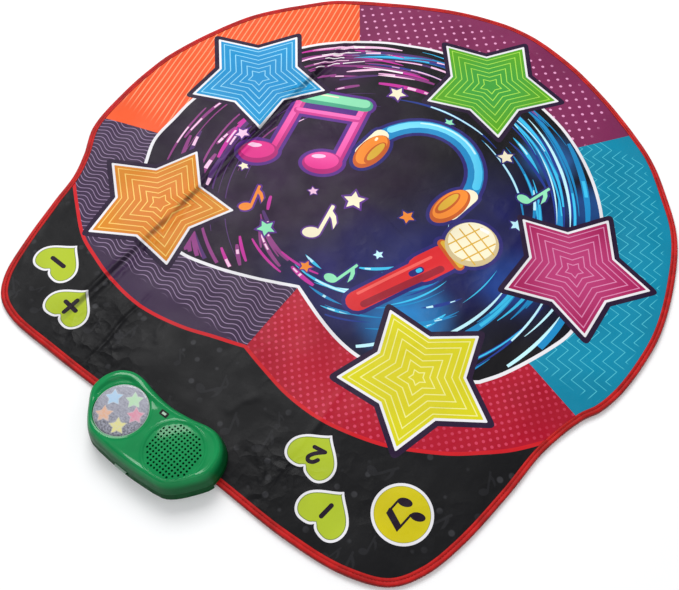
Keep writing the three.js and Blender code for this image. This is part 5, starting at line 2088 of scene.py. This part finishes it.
@dataclass
class UpperShell:
    """The unit's upper shell: rolled rim, plate, window ring and perforated dome."""

    outline: Outline = field(default_factory=unit_outline)

    def __post_init__(self) -> None:
        """Works out the crest, which stands further in at the back left."""
        aside = (np.array(self.outline) - UNIT_AT) @ np.array(BACK_LEFT)
        self.back_left = soft_step(aside, 38 * MM, 72 * MM)
        self.lean = 2.2 * MM * self.back_left
        self.crest = inward(self.outline, CREST_INSET + self.lean)

    def build(self) -> None:
        """Makes the plate, the sides and the indicator's frame."""
        green = paintbox.get(MOULDED_GREEN)
        panel = Panel("upper_shell_top", self.crest, green, self.height, 3.8 * MM, 1.9 * MM)
        panel.holes = [circle(WINDOW_AT, WINDOW_REACH, 88), self.light_hole(), *self.perforations()]
        for at, reaches in ((DOME_AT, DOME_ROWS), (WINDOW_AT, WINDOW_ROWS)):
            for reach in reaches:
                panel.extra += circle(at, reach * MM, 110)
        for inset in CREST_ROWS:
            panel.extra += inward(self.crest, inset * MM)
        top = panel.build()
        sides = self.sides()
        for piece in (top, sides):
            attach(piece, ROOT_BODY)
        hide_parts("upper_shell")
        self.light_frame()
        log.info("upper shell: %d faces", len(top.data.polygons) + len(sides.data.polygons))

    def light_frame(self) -> None:
        """A black frame round the small indicator's tile, painted shade standing in for the shaded recess
        round it.
        """
        # Painted shade: the black frame stands for the shaded recess round the indicator tile.
        black = paintbox.get(MouldedPlastic("indicator_shade_black", "0E0E10", "24242A", 0.4, shine=0.2))
        tile = paintbox.get(MouldedPlastic("indicator_tile", "A6C4AC", "E0F0E4"))
        outline = inward(self.light_hole(), -0.5 * MM)
        panel = Panel("indicator_frame", outline, black, self.frame_height, 1.2 * MM, 1 * MM)
        panel.patches = [(placed(rectangle(2.9 * MM, 1.5 * MM), INDICATOR_AT), tile)]
        made = panel.build()
        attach(made, ROOT_BODY)
        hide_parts("indicator_lens")

    def frame_height(self, flat: np.ndarray) -> np.ndarray:
        """Height of the indicator's frame."""
        return np.full(len(flat), FRAME_TOP)

    def light_hole(self) -> Outline:
        """The opening of the small indicator."""
        return placed(rounded(rectangle(5.35 * MM, 3 * MM), 0.8 * MM, 3), INDICATOR_AT)

    def perforations(self) -> list[Outline]:
        """The dome's square grid of holes.

        Returns:
            Outlines of the holes.
        """
        pitch, radius, reach = 4.9 * MM, 1.5 * MM, 35.7 * MM
        steps = range(-7, 8)
        places = [(column * pitch, row * pitch) for row in steps for column in steps]
        return [circle((DOME_AT[0] + x, DOME_AT[1] + y), radius, 12)
                for x, y in places if math.hypot(x, y) + radius <= reach]

    def height(self, flat: np.ndarray) -> np.ndarray:
        """Height of the shell's upper face.

        Args:
            flat: Places as rows of x and y.

        Returns:
            Height at each place.
        """
        rim = (1 - soft_step(inset_of(flat, self.crest), 0, 4 * MM)) * self.crest_share(flat)
        dome_away = from_centre(flat, DOME_AT)
        window = 0.6 * np.exp(-((from_centre(flat, WINDOW_AT) - WINDOW_RING) / (1.5 * MM)) ** 2)
        lip = 0.8 * np.exp(-((dome_away - DOME_LIP) / (1.3 * MM)) ** 2)
        plate = PLATE_TOP + CREST_RISE * (1 - (1 - rim) * (1 - window) * (1 - lip))
        plate -= self.window_dish(flat)
        dome = DOME_TOP - 1.75 * MM * (dome_away / DOME_REACH) ** 2.2
        share = soft_step(dome_away, 35.8 * MM, 37.5 * MM)
        return dome * (1 - share) + plate * share

    def crest_share(self, flat: np.ndarray) -> np.ndarray:
        """How much of its rise the crest keeps, with less along the front left."""
        aside = (flat - np.array(UNIT_AT)) @ np.array(FRONT_LEFT)
        return 1 - 0.88 * soft_step(aside, 20 * MM, 46 * MM)

    def window_dish(self, flat: np.ndarray) -> np.ndarray:
        """How far the plate falls towards the back left of the window.

        Args:
            flat: Places as rows of x and y.

        Returns:
            Depth at each place.
        """
        away = from_centre(flat, WINDOW_AT)
        facing = (flat - np.array(WINDOW_AT)) @ np.array(DISH_WAY) / np.maximum(away, 1e-6)
        run = soft_step(inset_of(flat, self.crest), 0.4 * MM, 5.6 * MM)
        return 3.3 * MM * run * soft_step(away, 48 * MM, 41 * MM) * soft_step(facing, 0.02, 0.66)

    def sides(self) -> bpy.types.Object:
        """The drafted wall and its rolled rim.

        Returns:
            The wall.
        """
        stops = [(1.43, 14.15), (1.9, 17), (3.08, 24), (4.95, 31.6), (6.7, 36.1), (8.5, 38.9), (10.6, 40.05)]
        curve = [p for p in smooth(in_metres([*stops, (12.7, 40.05)]), 5, closed=False)
                 if p[0] <= CREST_INSET + 1e-7]
        section = [(4.0 * MM, 14.15 * MM), (1.6 * MM, 14.15 * MM), *curve]
        low = CREST_RISE * (1 - self.crest_share(np.array(self.crest)))
        rings = []
        for inset, z in section:
            spread = self.lean * max(0.0, (inset - 1.6 * MM) / (9.0 * MM)) * (z > 14.2 * MM)
            ring = at_height(inward(self.outline, inset + spread), z)
            fullness = 0.7 * self.back_left * soft_step(z, 22 * MM, 34 * MM)
            drop = low * soft_step(z, 34 * MM, 40.05 * MM)
            ring[:, 2] += (PLATE_TOP + CREST_RISE - z) * fullness - drop
            rings.append(ring)
        points, faces = loft(rings)
        return make_piece("upper_shell_sides", points, faces, [paintbox.get(MOULDED_GREEN)])


class WindowLens:
    """The frosted window with five pale stars set in it."""

    STARS = ((0.215, "A6CFA2"), (0.435, "98BEDC"), (0.045, "D07A92"), (0.635, "D89E78"), (0.84, "D8D074"))

    def build(self) -> bpy.types.Object:
        """Makes the window.

        Returns:
            The window.
        """
        rim = paintbox.get(MouldedPlastic("window_rim", "B4C8BC", "D8E4DC", 0.3))
        card = paintbox.get(FrostedWindow("frosted_face", "9494A2", "4E4E58"))
        outline = circle(WINDOW_AT, 34.8 * MM, 96)
        panel = Panel("frosted_window", outline, rim, self.height, 2.2 * MM, 1.8 * MM)
        panel.patches.append((circle(WINDOW_AT, 33.9 * MM, 96), card))
        for share, colour in self.STARS:
            angle = share * 2 * math.pi
            x, y = 20.4 * MM * math.cos(angle), 20.4 * MM * math.sin(angle)
            at = (WINDOW_AT[0] + x, WINDOW_AT[1] - 0.8 * MM + y)
            pale = "".join(f"{(int(colour[k:k + 2], 16) + 0xC4) // 2:02X}" for k in (0, 2, 4))
            shade = paintbox.get(FrostedWindow(f"inlay_edge_{colour}", pale, "9A9AA2"))
            face = paintbox.get(FrostedWindow(f"inlay_{colour}", colour, pale))
            panel.patches.append((rounded(star(at, 12.2 * MM, 6.6 * MM, -90), 1 * MM), shade))
            panel.patches.append((rounded(star(at, 10.4 * MM, 5.4 * MM, -90), 0.7 * MM), face))
        made = panel.build()
        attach(made, ROOT_BODY)
        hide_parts("window_lens")
        log.info("window")
        return made

    def height(self, flat: np.ndarray) -> np.ndarray:
        """Height of the window's face, with its bevel."""
        away = from_centre(flat, WINDOW_AT)
        return 37.9 * MM - 0.7 * MM * soft_step(away, 33.3 * MM, 35.2 * MM)


def dress_cad_nodes() -> None:
    """Gives each CAD node that stays its own finish."""
    named = {
        "lower_shell": SHADED_UNDERSIDE_GREEN, "battery_door": SHADED_UNDERSIDE_GREEN,
        "switch_slider": MouldedPlastic("slider_face", "A9BDB0", "C8D8CE", 0.5, shine=0.15),
        "power_switch_body": MouldedPlastic("switch_black", "1A1A1C", "3A3A3E", 0.5),
        "sound_chip": MouldedPlastic("chip_black", "151517", "2E2E32", 0.45),
        "circuit_board": MouldedPlastic("board_green", "1E5C34", "3A7A50", 0.35),
        "tail_connector": MouldedPlastic("connector_white", "E4E0D8", "FFFFFF", 0.4),
        "film_tail": MouldedPlastic("film_tail", "B08A4C", "D0B078", 0.3),
        "speaker_cone": MouldedPlastic("paper_cone", "232325", "3E3E42", 0.85, 0.1 * MM),
        "speaker_magnet": MouldedPlastic("magnet_ferrite", "2A2A2C", "4A4A4E", 0.6),
        "speaker_wires": MouldedPlastic("wire_red", "B02020", "D04040", 0.45),
        "battery_wires": MouldedPlastic("wire_black", "1C1C1E", "3C3C40", 0.45),
        "speaker_frame": Metal("speaker_steel", "A8ACB0"),
        **dict.fromkeys(("left_cell_contact", "right_cell_contact"), Metal("contact_metal", "C8C4B8")),
        **dict.fromkeys((
            "door_screw", "board_screw_1", "board_screw_2", "left_shell_screw", "right_shell_screw",
            "left_clamp_screw", "right_clamp_screw"), Metal("screw_steel", "A8ACB0")),
    }
    kinds = (
        ("cell_", "", MouldedPlastic("cell_wrap", "2C6A9C", "C8C8C8", 0.35)),
        ("", "_led", MouldedPlastic("lamp_lens", "E8E4D8", "FFFFFF", 0.15)),
        ("", "_contact", MouldedPlastic("contact_puck", "1E1E20", "3A3A3E", 0.7)),
    )
    for name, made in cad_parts.items():
        alike = (look for start, end, look in kinds if name.startswith(start) and name.endswith(end))
        finish = named.get(name) or next(alike, None)
        if finish is None:
            continue
        for place in made.material_slots:
            place.link = "OBJECT"
            place.material = paintbox.get(finish)
    log.info("CAD nodes dressed")


# Studio

CAMERA_ANGLES = (33.864, 59.172, 2.345)
CAMERA_AIM = (0.05458, -0.15707, 0)
CAMERA_DISTANCE = 1.15252
FOCAL_PIXELS = 824.28
PICTURE_WIDTH = 679


def studio() -> None:
    """Pale floor, soft lights and the camera."""
    floor()
    sky()
    softbox("left_softbox", (-1.25, 0.98, 2.2), (1.6, 1.2), 50)
    softbox("front_fill", (1.6, -2.2, 2.2), (2.4, 1.8), 14)
    camera()
    log.info("studio")


def floor() -> None:
    """A plain pale floor."""
    shader = Shader("studio_floor")
    colour = shader.blend(shader.noise(3, 2), (0.93, 0.93, 0.93, 1), (0.97, 0.97, 0.97, 1))
    shader.finish(Base_Color=colour, Roughness=0.9, Specular_IOR_Level=0.1)
    steps = np.linspace(-4, 4, 9)
    points, faces = loft([at_height([(x, y) for x in steps], -0.2 * MM) for y in steps], closed=False)
    made = make_piece("studio_floor", points, faces, [shader.material])


def sky() -> None:
    """Soft light from all round, dim in mirrored light and white behind the floor."""
    world = bpy.data.worlds.new("studio_sky")
    bpy.context.scene.world = world
    world.use_nodes = True
    tree = world.node_tree
    path = tree.nodes.new("ShaderNodeLightPath")
    around = tree.nodes["Background"]
    around.inputs["Color"].default_value = (0.97, 0.98, 1.0, 1)
    around.inputs["Strength"].default_value = 0.64
    lit = around.outputs[0]
    for ray, strength in (("Is Glossy Ray", 0.08), ("Is Camera Ray", 1.0)):
        white = tree.nodes.new("ShaderNodeBackground")
        white.inputs["Color"].default_value = (1, 1, 1, 1)
        white.inputs["Strength"].default_value = strength
        mix = tree.nodes.new("ShaderNodeMixShader")
        for socket, source in zip(mix.inputs, (path.outputs[ray], lit, white.outputs[0])):
            tree.links.new(source, socket)
        lit = mix.outputs[0]
    tree.links.new(lit, tree.nodes["World Output"].inputs["Surface"])


def softbox(name: str, at: Sequence[float], size: Point, power: float) -> None:
    """A rectangular lamp aimed at the mat.

    Args:
        name: Name of the lamp.
        at: Its place.
        size: Its width and height.
        power: Its power in watts.
    """
    data = bpy.data.lights.new(name, "AREA")
    data.shape = "RECTANGLE"
    data.size, data.size_y = size
    data.energy = power
    made = bpy.data.objects.new(name, data)
    made.location = at
    made.rotation_euler = (Vector((0, -0.1, 0)) - Vector(at)).to_track_quat("-Z", "Y").to_euler()
    bpy.context.scene.collection.objects.link(made)


def camera() -> None:
    """The camera that took the photograph, fitted to points on the mat."""
    azimuth, rise, roll = (angle * DEGREE for angle in CAMERA_ANGLES)
    back = Vector((math.sin(azimuth) * math.cos(rise), -math.cos(azimuth) * math.cos(rise), math.sin(rise)))
    level = (-back).cross(Vector((0, 0, 1))).normalized()
    upright = level.cross(-back)
    right = level * math.cos(roll) + upright * math.sin(roll)
    up = upright * math.cos(roll) - level * math.sin(roll)
    place = Vector(CAMERA_AIM) + back * CAMERA_DISTANCE
    data = bpy.data.cameras.new("camera")
    data.sensor_width = 36
    data.lens = FOCAL_PIXELS * data.sensor_width / PICTURE_WIDTH
    made = bpy.data.objects.new("camera", data)
    made.matrix_world = Matrix.Translation(place) @ Matrix((right, up, back)).transposed().to_4x4()
    bpy.context.scene.collection.objects.link(made)
    bpy.context.scene.camera = made
    bpy.context.scene.view_settings.view_transform = "Standard"


def main() -> None:
    """Dresses the mat and lights it."""
    logging.basicConfig(level=logging.INFO, format="%(name)s: %(message)s")
    PrintedSheet().build()
    Keys().build()
    EdgeBinding().build()
    Backing().build()
    for layer in INNER_LAYERS:
        layer.build()
    UpperShell().build()
    WindowLens().build()
    dress_cad_nodes()
    studio()


if __name__ == "__main__":
    main()
